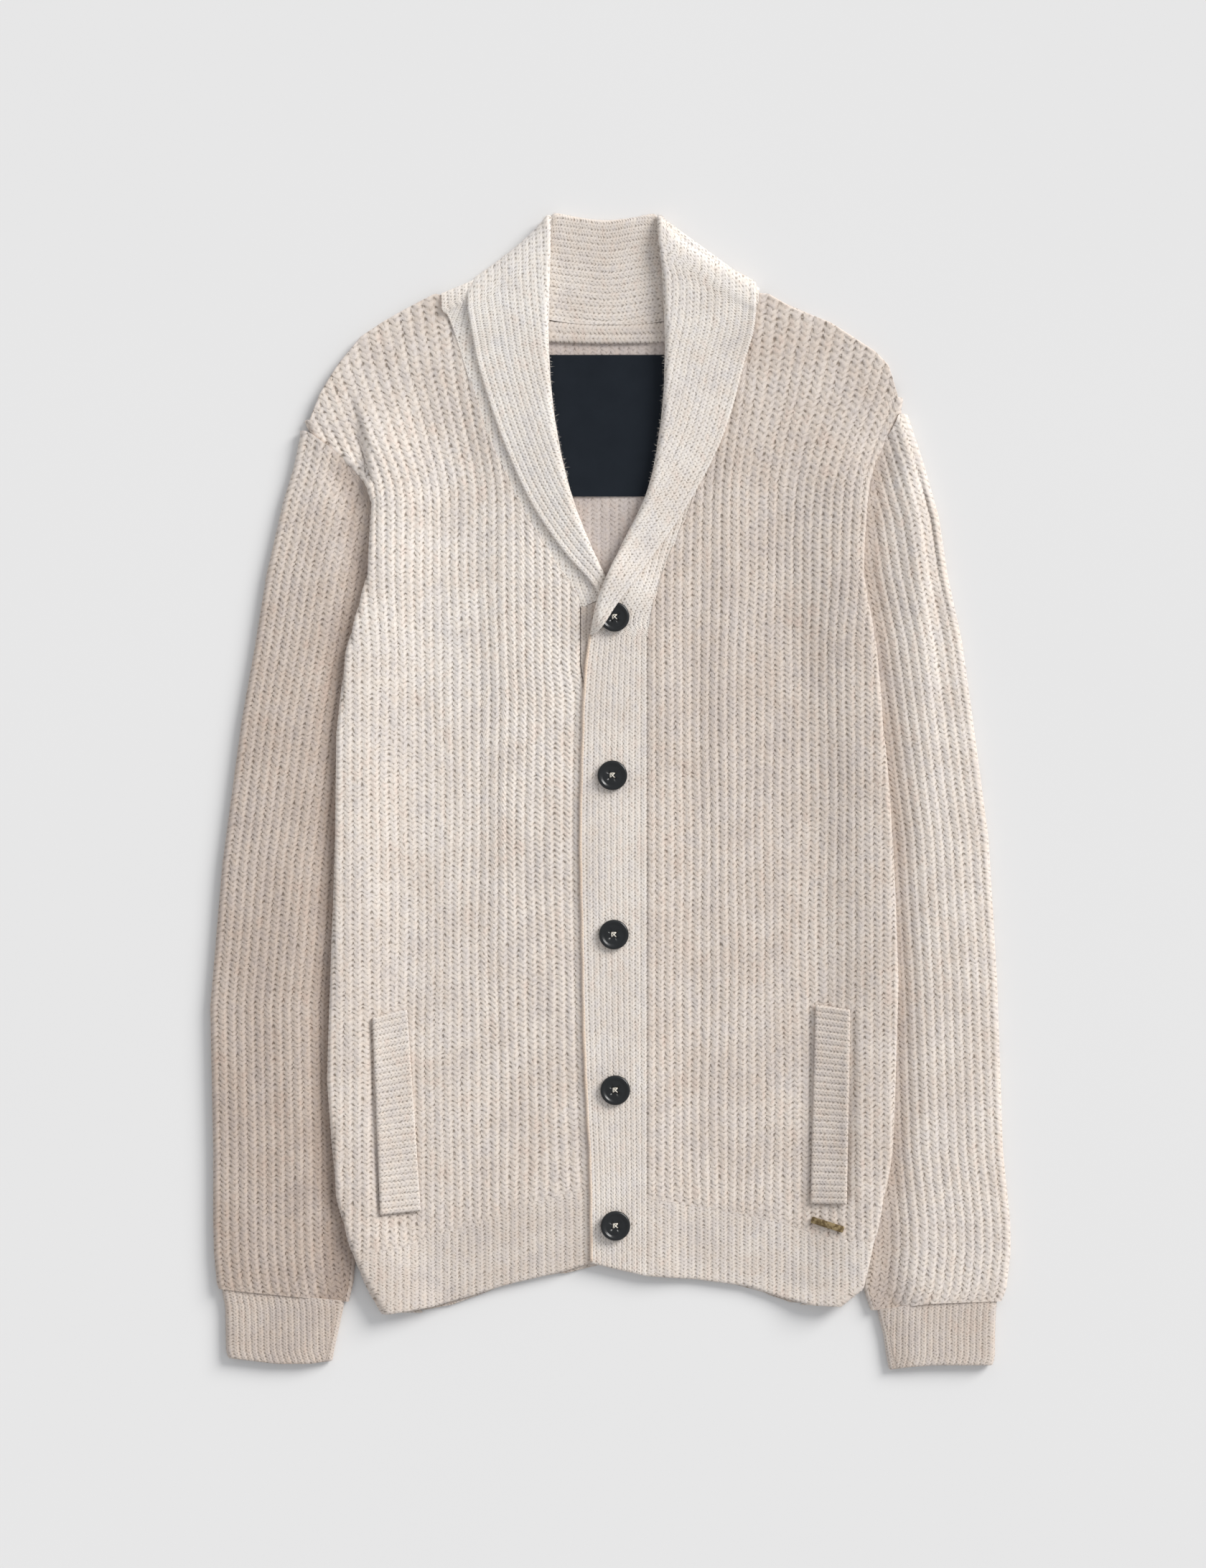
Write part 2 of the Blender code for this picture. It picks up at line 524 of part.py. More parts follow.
# ================================================================ sleeves and cuffs
def arm_value(arm, column, y):
    """Read a column of an arm's table at heights y."""
    return np.interp(y, [row.y for row in arm], [getattr(row, column) for row in arm])


def tube(name, sign, arm, crown, hidden, pitch, rib_height, ribs, bottom, top, rows, folds=()):
    """A sleeve or a cuff: an open tube pressed flat, ribbed on top and plain underneath.

    It is thinnest over the width that is hidden under the body.
    """
    flat = 2 * ribs + 1
    spots = np.arange(flat) * pitch / 2
    inner_turn = np.radians(INNER_ANGLES)
    under = np.array(UNDER_SHARES)
    outer_turn = np.radians(OUTER_ANGLES)
    count = flat + len(inner_turn) + len(under) + len(outer_turn)
    inner_in = (TUCK_Z - BACK_Z) / 2 + INNER_TURN

    def across(y):
        """x of every column at heights y."""
        outside = arm_value(arm, "outer", y) - HALF
        inside = arm_value(arm, "inner", y) + HALF
        start = outside - OUTER_TURN
        room = start[:flat] - (inside[:flat] + inner_in)
        left_over = (flat - 1 - np.arange(flat)) * SQUEEZE
        spot = np.minimum(spots, room - left_over)
        x = np.zeros(count)
        x[:flat] = start[:flat] - spot
        a = slice(flat, flat + len(inner_turn))
        x[a] = inside[a] + inner_in * (1 - np.sin(inner_turn))
        b = slice(a.stop, a.stop + len(under))
        x[b] = inside[b] + inner_in + under * (start[b] - inside[b] - inner_in)
        c = slice(b.stop, count)
        x[c] = start[c] + OUTER_TURN * np.sin(outer_turn)
        return x, spot, inside, start

    ends = []
    for table in (bottom, top):
        guess = np.full(count, np.mean([row.y for row in table]))
        for _ in range(4):
            guess = straight(table, across(guess)[0])
        ends.append(guess)
    low, high = ends
    middle = np.zeros((len(rows), count, 3))
    rib = np.zeros((len(rows), count))
    for i, v in enumerate(rows):
        y = low + v * (high - low)
        x, spot, inside, start = across(y)
        z = np.full(count, BACK_Z)
        shown = x[:flat] - inside[:flat] - hidden
        z[:flat] = TUCK_Z + (crown - TUCK_Z) * ease(shown / TUCK_EASE)
        a = slice(flat, flat + len(inner_turn))
        mid = (z[flat - 1] + BACK_Z) / 2
        z[a] = mid + (z[flat - 1] - BACK_Z) / 2 * np.cos(inner_turn)
        c = slice(count - len(outer_turn), count)
        mid = (z[0] + BACK_Z) / 2
        z[c] = mid + (z[0] - BACK_Z) / 2 * np.cos(outer_turn)
        middle[i, :, 0] = sign * x
        middle[i, :, 1] = y
        middle[i, :, 2] = z
        gap = np.abs(np.gradient(spot)) / (pitch / 2)
        fade = np.clip(gap * 1.6 - 0.6, 0, 1)
        rib[i, :flat] = rib_height * rib_wave(flat) * fade * ease((shown + 2) / 5)
        if folds:
            ridge = np.interp(y[:flat], [f.y for f in folds], [f.x for f in folds])
            height = np.interp(y[:flat], [f.y for f in folds], [f.height for f in folds])
            rib[i, :flat] += height * np.exp(-((x[:flat] - ridge) / FOLD_WIDTH) ** 2)
    keep = list(range(0, flat - 4, 6)) + list(range(flat - 1, count))
    return cloth(name, middle, rib, keep, WOOL, closed=True, flip=-sign, flat_under=True)


# ================================================================ back and its hem
def back_panel():
    """The back: a flat panel on the floor, ribbed where the open neck shows its inside."""
    levels = np.array(BACK_LEVELS)
    share = (levels - levels[0]) / (levels[-1] - levels[0])
    inner = (np.arange(4 * BACK_RIBS + 1) - 2 * BACK_RIBS) * BODY_PITCH / 2
    middle = np.zeros((len(levels), len(inner) + 8, 3))
    lift = np.zeros(middle.shape[:2])
    for i, y in enumerate(levels):
        ends = []
        for side, top, step_y in ((RIGHT_SIDE, RIGHT_TOP, RIGHT_STEP_Y),
                                  (LEFT_SIDE, LEFT_TOP, LEFT_STEP_Y)):
            seam = side_value(side, "edge", y) - side_value(side, "tuck", y) - 8 * SEAM
            shoulder = [row for row in top if row.x > NECK_POINT]
            limit = np.interp(-y, [-row.y for row in shoulder], [row.x for row in shoulder])
            ends.append(seam if y < step_y else limit - 4 * SEAM)
        shares = np.array((1.0, 0.75, 0.5, 0.25))
        x = np.concatenate((inner[0] + (-ends[0] - inner[0]) * shares, inner,
                            inner[-1] + (ends[1] - inner[-1]) * shares[::-1]))
        hem = np.where(x < 0, straight(RIGHT_HEM_TOP, -x), straight(LEFT_HEM_TOP, x))
        dip = NECK_DROP * (1 - np.clip(x / NECK_HALF, -1, 1) ** 2)
        middle[i, :, 0] = x
        middle[i, :, 1] = y + (hem - levels[0]) * (1 - share[i]) - dip * share[i] ** 8
        middle[i, :, 2] = BACK_Z
        place = middle[i, :, 1]
        roll = np.interp(place, ROLL_HEIGHTS, ROLL_GAPS)
        open_here = (BACK_RIB_SPAN[0] < place) & (place < BACK_RIB_SPAN[1])
        shown = (np.abs(x - ROLL_MIDDLE) < roll - 1.0) & open_here
        lift[i] = FINE_RIB * rib_wave(len(x)) * shown
    columns = middle.shape[1]
    keep = [0, 2, 4, 8, 12, 16, 20, 22, 24]
    cloth("back", middle, lift, keep, WOOL, flip=1.0)


def back_hem():
    """The back's hem, in line with the front hems and a little below them at the middle."""
    places = np.linspace(-1, 1, 15)
    middle = np.zeros((3, len(places), 3))
    for i, v in enumerate((0.0, 0.5, 1.0)):
        for j, f in enumerate(places):
            side = RIGHT_SIDE if f < 0 else LEFT_SIDE
            top_table = RIGHT_HEM_TOP if f < 0 else LEFT_HEM_TOP
            end_table = RIGHT_HEM_END if f < 0 else LEFT_HEM_END
            guess = abs(f) * BACK_HEM_HALF
            high = straight(top_table, guess) - 5 * SEAM
            low = straight(end_table, guess) + 1.5
            low = min(low, BACK_HEM_FOOT) if guess < BACK_HEM_REACH else low
            y = low + v * (high - low)
            half = side_value(side, "edge", y) - side_value(side, "tuck", y) - 6 * SEAM
            middle[i, j] = (f * half, y, BACK_Z)
    cloth("hem_back", middle, np.zeros(middle.shape[:2]), [0, 7, 14], WOOL, flip=1.0)


# ================================================================ bands
def bands():
    """The buttonhole band on top, ribbed lengthwise, and the plain button band under it."""
    columns = 2 * BAND_RIBS + 1
    rows = (0.0, 0.06, 0.14, 0.28, 0.42, 0.56, 0.70, 0.84, 0.94, 1.0)
    middle = np.zeros((len(rows), columns, 3))
    share = np.linspace(0, 1, columns)
    low = BAND_FOOT - BAND_SLANT * share
    high = BAND_HEAD - 1.3 * share
    places = [row.y for row in BAND_LEFT_EDGE]
    for i, v in enumerate(rows):
        y = low + v * (high - low)
        left = follow(places, [row.x for row in BAND_LEFT_EDGE], y)
        right = LEFT_CENTRE - SEAM
        middle[i, :, 0] = left + (right - left) * share
        middle[i, :, 1] = y
        middle[i, :, 2] = TOP_BAND_Z
    rib = np.tile(FINE_RIB * rib_wave(columns), (len(rows), 1))
    cloth("band_left", middle, rib, [0, 7, 15, columns - 1], WOOL, flip=1.0)

    columns = 9
    share = np.linspace(0, 1, columns)
    middle = np.zeros((6, columns, 3))
    foot, head, slant = BAND_RIGHT_HEIGHTS
    low = np.full(columns, foot)
    high = head + slant * share
    for i, v in enumerate(np.linspace(0, 1, 6)):
        y = low + v * (high - low)
        right = np.interp(y, (85.0, 108.0, 138.0), (BAND_RIGHT_SPAN[1], 20.0, 2.6))
        middle[i, :, 0] = BAND_RIGHT_SPAN[0] + (right - BAND_RIGHT_SPAN[0]) * share
        middle[i, :, 1] = y
        middle[i, :, 2] = FRONT_Z
    cloth("band_right", middle, np.zeros((6, columns)), [0, 4, 8], WOOL, flip=1.0)


# ================================================================ collar
def turn_stations(turn, outward, steps):
    """Stations round one side fold: the doubled collar turns about a level axis."""
    roll = np.array(turn.roll)
    edge = np.array(turn.edge)
    along = (edge - roll) / np.linalg.norm(edge - roll)
    out = np.array((along[1], -along[0])) * outward
    made = []
    for degrees in steps:
        angle = math.radians(degrees)
        lift = np.array((out[0] * math.sin(angle), out[1] * math.sin(angle), math.cos(angle)))
        centre = (TURN_INNER + TURN_OUTER) / 2
        made.append((
            np.array((*turn.seam, turn.z)) + lift * TURN_INNER,
            np.array((*turn.roll, turn.z)) + lift * centre,
            np.array((*turn.edge, turn.z)) + lift * TURN_OUTER,
            (TURN_OUTER - TURN_INNER) / 2,
            lift,
        ))
    return made


def collar():
    """One doubled strip from front to front: seam, stand, roll and fall at each station."""
    up = np.array((0.0, 0.0, 1.0))
    stations = [(*map(np.array, row[:3]), row.half, up) for row in COLLAR_RIGHT]
    stations += turn_stations(TURN_RIGHT, 1.0, TURN_STEPS)
    stations += [(*map(np.array, row[:3]), row.half, -up) for row in BACK_STATIONS]
    stations += turn_stations(TURN_LEFT, -1.0, TURN_STEPS[::-1])
    stations += [(*map(np.array, row[:3]), row.half, up) for row in COLLAR_LEFT[::-1]]
    rows = []
    bends = np.radians(np.linspace(0, 180, ROLL_STEPS + 2)[1:-1])
    for seam, roll, edge, half, lift in stations:
        inward = edge - roll
        inward -= lift * inward.dot(lift)
        inward /= np.linalg.norm(inward)
        middle = roll + inward * (half + HALF)
        start = middle - lift * half
        end = middle + lift * half
        stand = [seam + (start - seam) * t for t in np.linspace(0, 1, STAND_COLUMNS + 1)]
        bend = [middle - lift * half * math.cos(a) - inward * half * math.sin(a) for a in bends]
        fall = [end + (edge - end) * t for t in np.linspace(0, 1, FALL_COLUMNS + 1)]
        rows.append(stand + bend + fall)
    grid = np.array(rows)
    columns = grid.shape[1]
    spacing = np.linalg.norm(np.gradient(grid, axis=1), axis=2) / (COLLAR_PITCH / 2)
    rib = FINE_RIB * rib_wave(columns) * np.clip(spacing * 1.4 - 0.4, 0, 1)
    facing_up = np.array([station[4][2] for station in stations])
    rib[facing_up < -0.9, STAND_COLUMNS + 1:] = 0.0
    shown = np.abs(grid[:, :STAND_COLUMNS, 0] + 4.0) < STAND_SHOWN
    rib[:, :STAND_COLUMNS] *= shown * (facing_up < -0.9)[:, None]
    fall = STAND_COLUMNS + ROLL_STEPS + 1
    keep = [*range(0, STAND_COLUMNS, 7), *range(STAND_COLUMNS, fall, 2), *range(fall, columns, 8)]
    cloth("collar", grid, rib, keep, WOOL, flip=-1.0)


# ================================================================ neck tape and label
def slab(name, span, low_z, thick, slot, dip=0.0, columns=8):
    """A flat strip on the inside of the back, bowed down at its middle by dip."""
    left, right, foot, head = span
    x = np.linspace(left, right, columns)
    bow = dip * ((x / right) ** 2 - 1)
    middle = np.zeros((2, columns, 3))
    for i, y in enumerate((foot, head)):
        middle[i, :, 0] = x
        middle[i, :, 1] = y + bow
        middle[i, :, 2] = low_z + thick / 2
    keep = [0, columns - 1] if dip == 0 else list(range(columns))
    cloth(name, middle, np.zeros((2, columns)), keep, slot, wall=thick, flip=1.0)


# ================================================================ pockets, buttons, trim
def welt(name, corners, side, centre):
    """A pocket welt: a strip ribbed across, made from the front's points moved out."""
    columns = 2 * WELT_RIBS + 1
    rows = 3
    middle = np.zeros((rows, columns, 3))
    for j, v in enumerate(np.linspace(0, 1, columns)):
        outer = np.array(corners.outer_foot) * (1 - v) + np.array(corners.outer_top) * v
        inner = np.array(corners.inner_foot) * (1 - v) + np.array(corners.inner_top) * v
        for i, f in enumerate(np.linspace(0, 1, rows)):
            x, y = inner + (outer - inner) * f
            ground = front_height(side, centre, abs(x), y)
            middle[i, j] = (x, y, ground + HALF + BODY_RIB + LAID_GAP + WELT_WALL / 2)
    rib = np.tile(FINE_RIB * rib_wave(columns), (rows, 1))
    keep = list(range(0, columns, 8)) + [columns - 1]
    flip = -1.0 if corners.outer_top[0] > 0 else 1.0
    cloth(name, middle, rib, keep, WOOL, wall=WELT_WALL, flip=flip)


def button(name, spot):
    """A four-hole button: turned disc with a rounded rim, a dished middle and holes."""
    r = BUTTON_RADIUS
    t = BUTTON_THICK
    profile = ((r - 1.6, 0.0), (r, t * 0.45), (r - BUTTON_RIM, t), (r - 2.4, t * 0.86),
               (r - 3.2, t * (BUTTON_DISH + 0.04)))
    bm = bmesh.new()
    rings = []
    for radius, z in profile:
        rings.append([bm.verts.new((radius * math.cos(a), radius * math.sin(a), z))
                      for a in np.linspace(0, 2 * math.pi, BUTTON_SIDES, endpoint=False)])
    for lower, upper in zip(rings, rings[1:]):
        for j in range(BUTTON_SIDES):
            k = (j + 1) % BUTTON_SIDES
            bm.faces.new((lower[j], lower[k], upper[k], upper[j]))
    bm.faces.new(rings[0][::-1])
    bm.faces.new(rings[-1])
    made = add_object(name, bm, HORN)
    drill = bmesh.new()
    for step in range(BUTTON_HOLES):
        angle = math.radians(45 + 90 * step)
        place = (HOLE_SPOT * math.cos(angle), HOLE_SPOT * math.sin(angle), t / 2)
        circle = bmesh.ops.create_cone(drill, cap_ends=True, segments=6, radius1=HOLE_RADIUS,
                                       radius2=HOLE_RADIUS, depth=3 * t)
        bmesh.ops.translate(drill, verts=circle["verts"], vec=place)
    cutter = add_object(name + "_drill", drill, HORN, smooth=False)
    cutter.hide_render = True
    cutter.display_type = "WIRE"
    cut = made.modifiers.new("holes", "BOOLEAN")
    cut.operation = "DIFFERENCE"
    cut.object = cutter
    for thing in (made, cutter):
        thing.location = (spot.x * MM, spot.y * MM, spot.z * MM)
        thing.rotation_euler = (0.0, math.radians(spot.tilt), 0.0)
    return made


def trim_bar():
    """A plain metal bar above the left hem, level with the cloth under it."""
    length, width, thick = BAR_SIZE
    turn = math.radians(BAR_TURN)
    ends = []
    for way in (-0.5, 0.5):
        x = BAR_CENTRE[0] + way * length * math.cos(turn)
        y = BAR_CENTRE[1] + way * length * math.sin(turn)
        ends.append(front_height(LEFT_SIDE, LEFT_CENTRE, x, y))
    bm = bmesh.new()
    bmesh.ops.create_cube(bm, size=1.0)
    bmesh.ops.scale(bm, vec=(length, width, thick), verts=bm.verts)
    bmesh.ops.bevel(bm, geom=bm.edges[:], offset=0.3, segments=1, affect="EDGES")
    made = add_object("trim_bar", bm, BRASS, smooth=False)
    height = sum(ends) / 2 + HALF + BODY_RIB + LAID_GAP + thick / 2
    made.location = (BAR_CENTRE[0] * MM, BAR_CENTRE[1] * MM, height * MM)
    slope = math.atan2(ends[1] - ends[0], length)
    made.rotation_mode = "ZYX"
    made.rotation_euler = (0.0, -slope, turn)
    return made


def main():
    """Build every piece."""
    clear_scene()
    back_panel()
    back_hem()
    body_piece("front_right", -1, RIGHT_SIDE, RIGHT_CENTRE, BODY_PITCH, BODY_RIB, 26,
               RIGHT_HEM_TOP, RIGHT_TOP, FRONT_ROWS)
    body_piece("front_left", 1, LEFT_SIDE, LEFT_CENTRE, BODY_PITCH, BODY_RIB, 26,
               LEFT_HEM_TOP, LEFT_TOP, FRONT_ROWS)
    drop = 2 * SEAM
    for name, sign, side, centre, top, end in (
            ("hem_right", -1, RIGHT_SIDE, RIGHT_CENTRE, RIGHT_HEM_TOP, RIGHT_HEM_END),
            ("hem_left", 1, LEFT_SIDE, LEFT_CENTRE, LEFT_HEM_TOP, LEFT_HEM_END)):
        lowered = tuple(Edge(row.x, row.y - drop) for row in top)
        body_piece(name, sign, side, centre, HEM_PITCH, FINE_RIB, 28, end, lowered, SHORT_ROWS)
    tube("sleeve_right", -1, RIGHT_ARM, SLEEVE_Z, TUCKED, SLEEVE_PITCH, BODY_RIB, 14,
         RIGHT_WRIST, RIGHT_ARMHOLE, SLEEVE_ROWS)
    tube("sleeve_left", 1, LEFT_ARM, SLEEVE_Z, TUCKED, SLEEVE_PITCH, BODY_RIB, 14,
         LEFT_WRIST, LEFT_ARMHOLE, SLEEVE_ROWS, LEFT_ARM_FOLD)
    for name, sign, arm, end, wrist in (
            ("cuff_right", -1, RIGHT_CUFF, RIGHT_CUFF_END, RIGHT_WRIST),
            ("cuff_left", 1, LEFT_CUFF, LEFT_CUFF_END, LEFT_WRIST)):
        lowered = tuple(Edge(row.x, row.y - drop) for row in wrist)
        tube(name, sign, arm, CUFF_Z, 0.0, CUFF_PITCH, FINE_RIB, 17, end, lowered,
             SHORT_ROWS)
    bands()
    collar()
    slab("neck_tape", TAPE_SPAN, BACK_Z + HALF + SEAM, TAPE_THICK, WOOL, dip=1.5)
    slab("label", LABEL_SPAN, BACK_Z + HALF + SEAM, LABEL_THICK, WOVEN, columns=2)
    welt("pocket_welt_right", WELT_RIGHT, RIGHT_SIDE, RIGHT_CENTRE)
    welt("pocket_welt_left", WELT_LEFT, LEFT_SIDE, LEFT_CENTRE)
    for number, spot in enumerate(BUTTONS, 1):
        button("button_%d" % number, spot)
    trim_bar()


main()
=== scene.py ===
# %% [markdown]
# # A shawl collar cardigan, buttoned and laid flat
#
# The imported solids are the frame: they carry the outlines, the layers and the ribs. Each
# piece of cloth is made here once more as a finer knitted shell in the same place.
# Sizes in the cells are millimetres; meshes are written in metres.

import math
from collections import namedtuple

import bmesh
import bpy
import numpy as np
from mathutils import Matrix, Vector


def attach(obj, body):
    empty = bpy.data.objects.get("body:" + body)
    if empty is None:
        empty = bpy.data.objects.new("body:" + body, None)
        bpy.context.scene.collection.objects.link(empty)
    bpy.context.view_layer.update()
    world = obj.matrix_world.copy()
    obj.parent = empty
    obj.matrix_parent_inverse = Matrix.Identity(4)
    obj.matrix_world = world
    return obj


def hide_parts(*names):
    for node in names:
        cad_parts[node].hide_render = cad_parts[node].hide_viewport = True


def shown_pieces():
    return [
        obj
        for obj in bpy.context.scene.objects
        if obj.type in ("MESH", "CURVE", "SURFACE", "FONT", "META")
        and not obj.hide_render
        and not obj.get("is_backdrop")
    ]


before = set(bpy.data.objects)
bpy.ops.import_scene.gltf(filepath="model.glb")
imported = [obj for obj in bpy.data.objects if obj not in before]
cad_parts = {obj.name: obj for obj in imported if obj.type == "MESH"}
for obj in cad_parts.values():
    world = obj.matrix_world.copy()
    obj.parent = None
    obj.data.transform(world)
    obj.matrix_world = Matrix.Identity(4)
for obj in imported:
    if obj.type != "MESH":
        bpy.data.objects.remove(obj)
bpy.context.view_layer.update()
MM = 0.001

# %% [markdown]
# ## Camera and studio
#
# Clothes laid on a table are pictured from straight above. A long lens far away keeps the
# edges from leaning. The sensor's width goes with the long side of the picture, so the lens
# length is sensor * distance / height of what is seen.
# The light is a broad, low one from the upper right, so that soft shadows fall to the lower
# left, with a pale room all round.

# %% Camera
VIEW_CENTRE = (-5.0, 5.0)
VIEW_HEIGHT = 1092.0
CAMERA_HEIGHT = 2600.0


def add_object(name, data):
    """Make an object of some data and put it into the scene."""
    made = bpy.data.objects.new(name, data)
    bpy.context.scene.collection.objects.link(made)
    return made


camera_data = bpy.data.cameras.new("camera")
camera_data.sensor_width = 36.0
camera_data.lens = camera_data.sensor_width * CAMERA_HEIGHT / VIEW_HEIGHT
camera_data.clip_end = 20.0
camera = add_object("camera", camera_data)
camera.location = (VIEW_CENTRE[0] * MM, VIEW_CENTRE[1] * MM, CAMERA_HEIGHT * MM)
bpy.context.scene.camera = camera
print("lens:", round(camera_data.lens, 1))

# %% Lights
ROOM_COLOUR, ROOM_STRENGTH = (0.97, 0.98, 1.0, 1.0), 0.56
SUN_WAY, SUN_STRENGTH, SUN_ANGLE = Vector((-0.66, -0.56, -0.45)), 3.0, 28.0
SUN_COLOUR = (1.0, 0.985, 0.965)

world = bpy.data.worlds.new("room")
world.use_nodes = True
world.node_tree.nodes["Background"].inputs["Color"].default_value = ROOM_COLOUR
world.node_tree.nodes["Background"].inputs["Strength"].default_value = ROOM_STRENGTH
bpy.context.scene.world = world
bpy.context.scene.view_settings.view_transform = "Standard"

sun_data = bpy.data.lights.new("window", "SUN")
sun_data.energy = SUN_STRENGTH
sun_data.angle = math.radians(SUN_ANGLE)
sun_data.color = SUN_COLOUR
sun = add_object("window", sun_data)
sun.rotation_euler = SUN_WAY.to_track_quat("-Z", "Y").to_euler()
print("light:", SUN_STRENGTH, "from the window,", ROOM_STRENGTH, "from the room")


# %% [markdown]
# ## Small helpers for node trees
#
# A material is a graph. A few short helpers keep it readable: one makes a node and fills its
# sockets, the others make the nodes that every material here has: a sum, a smooth step, a mix
# of two colours, a noise and a bump.

# %% Node helpers
def add_node(tree, kind, sockets=None, **settings):
    """Make a node; sockets maps an input's name or number to a value or to an output."""
    made = tree.nodes.new(kind)
    for key, value in settings.items():
        setattr(made, key, value)
    for key, value in (sockets or {}).items():
        if isinstance(value, bpy.types.NodeSocket):
            tree.links.new(value, made.inputs[key])
        else:
            made.inputs[key].default_value = value
    return made


def sum_of(tree, operation, *values):
    """One Math node of values or outputs; gives its output."""
    return add_node(tree, "ShaderNodeMath", dict(enumerate(values)), operation=operation).outputs[0]


def step_between(tree, value, low, high, out_low=0.0, out_high=1.0):
    """Map value smoothly from low..high to out_low..out_high."""
    sockets = {"Value": value, "From Min": low, "From Max": high, "To Min": out_low, "To Max": out_high}
    made = add_node(tree, "ShaderNodeMapRange", sockets, interpolation_type="SMOOTHSTEP")
    return made.outputs["Result"]


def mixed(tree, share, first, second, blend="MIX"):
    """Mix two colours by a share."""
    made = add_node(tree, "ShaderNodeMix", {0: share, 6: first, 7: second},
                    data_type="RGBA", blend_type=blend)
    return made.outputs[2]


def noise(tree, place, scale, detail=2.0, roughness=0.5, output="Fac"):
    """A noise at a place."""
    sockets = {"Vector": place, "Scale": scale, "Detail": detail, "Roughness": roughness}
    return add_node(tree, "ShaderNodeTexNoise", sockets).outputs[output]


def vector_of(tree, operation, first, second):
    """One Vector Math node; gives its output."""
    return add_node(tree, "ShaderNodeVectorMath", {0: first, 1: second}, operation=operation).outputs[0]


def dress(tree, shader, colour, height=None, strength=0.0, depth=0.0):
    """Link a shader's colour and, where there is a height, its bump, depth in millimetres."""
    tree.links.new(colour, shader.inputs["Base Color"])
    if height is not None:
        bump = add_node(tree, "ShaderNodeBump",
                        {"Height": height, "Strength": strength, "Distance": depth * MM})
        tree.links.new(bump.outputs[0], shader.inputs["Normal"])


# %% A material's start
def new_material(name):
    """A Principled material: itself, its tree, its shader and the place on the object."""
    made = bpy.data.materials.new(name)
    made.use_nodes = True
    tree = made.node_tree
    around = add_node(tree, "ShaderNodeTexCoord").outputs["Object"]
    return made, tree, tree.nodes["Principled BSDF"], around


# %% [markdown]
# ## Wool in ribs of knitted Vs
#
# On a ribbed knit each rib is a pile of V-shaped stitches: two soft legs that rise from the
# middle of the rib outwards. Light catches the raised legs, and painted shade darkens the colour
# where a V opens: dots at the middle of the rib and, larger, down in the furrow between two ribs.
# Every shell carries a UV map in units of the knit: u counts ribs, v counts stitches. So one
# formula draws the stitches on every piece, however its ribs bend, and the same formula in
# numpy raises them in the mesh where the ribs are wide enough.
# The yarn is a melange: flecks of rose, straw and grey-blue on an oatmeal ground.

# %% Stitches drawn by nodes
LEG_RISE = 0.72        # stitches that a leg climbs from the rib's middle to its furrow


def painted_stitch_shade(tree, place, legs, eyes, furrow, line):
    """How much painted shade darkens the knit at a place in ribs and stitches, 0 to 1.

    With d the distance from the rib's middle (0 to 0.5) and v the stitch count, the gap
    between two legs is where v - 2 * LEG_RISE * d is halfway between whole numbers. The gap
    shows a little along the legs, as a dot at the rib's middle (eyes) and as a larger dot in
    the furrow; line is the part of the furrow's shade that doesn't break into dots.
    """
    parts = add_node(tree, "ShaderNodeSeparateXYZ", {0: place})
    across = sum_of(tree, "SUBTRACT", sum_of(tree, "FRACT", parts.outputs[0]), 0.5)
    off = sum_of(tree, "ABSOLUTE", across)
    climb = sum_of(tree, "SUBTRACT", parts.outputs[1], sum_of(tree, "MULTIPLY", off, 2 * LEG_RISE))
    turn = sum_of(tree, "COSINE", sum_of(tree, "MULTIPLY", climb, 2 * math.pi))
    gap = sum_of(tree, "POWER", sum_of(tree, "MULTIPLY_ADD", turn, -0.5, 0.5), 2.0)
    middle = step_between(tree, off, 0.14, 0.02)
    valley = step_between(tree, off, 0.27, 0.46)
    along_legs = sum_of(tree, "MULTIPLY", gap, legs)
    dots = sum_of(tree, "MULTIPLY", sum_of(tree, "MULTIPLY", gap, middle), eyes)
    pits = sum_of(tree, "MULTIPLY", valley, sum_of(tree, "MULTIPLY_ADD", gap, furrow, line))
    return sum_of(tree, "ADD", sum_of(tree, "ADD", along_legs, dots), pits)


print("a stitch's leg climbs", LEG_RISE, "stitches")


# %% Yarn
STRAY = (0.36, 1.3, 0.0)        # how far the knit strays from its count, in ribs and stitches
FLECKS = ((0.35, (0.88, 0.895, 0.925)), (0.44, (0.965, 0.965, 0.975)), (0.50, (1.0, 1.0, 0.99)),
          (0.56, (1.0, 0.985, 0.955)), (0.65, (0.99, 0.93, 0.895)))


def strayed(tree, place):
    """The place moved by a slow noise, so that the stitches don't stand in line."""
    wander = noise(tree, place, 0.8, output="Color")
    shifted = vector_of(tree, "SUBTRACT", wander, (0.5, 0.5, 0.5))
    return vector_of(tree, "ADD", place, vector_of(tree, "MULTIPLY", shifted, STRAY))


def melange(tree, around):
    """The yarn's flecks: a ramp over two noises drawn out along the garment."""
    drawn_out = add_node(tree, "ShaderNodeMapping", {0: around, 3: (1.0, 0.5, 1.0)}).outputs[0]
    near = noise(tree, drawn_out, 230.0, roughness=0.65)
    wide = noise(tree, drawn_out, 62.0)
    both = sum_of(tree, "MULTIPLY_ADD", near, 0.62, sum_of(tree, "MULTIPLY", wide, 0.38))
    tint = add_node(tree, "ShaderNodeValToRGB", {0: both})
    ramp = tint.color_ramp
    while len(ramp.elements) < len(FLECKS):
        ramp.elements.new(0.5)
    for element, (spot, colour) in zip(ramp.elements, FLECKS):
        element.position = spot
        element.color = (*colour, 1.0)
    return tint.outputs[0]


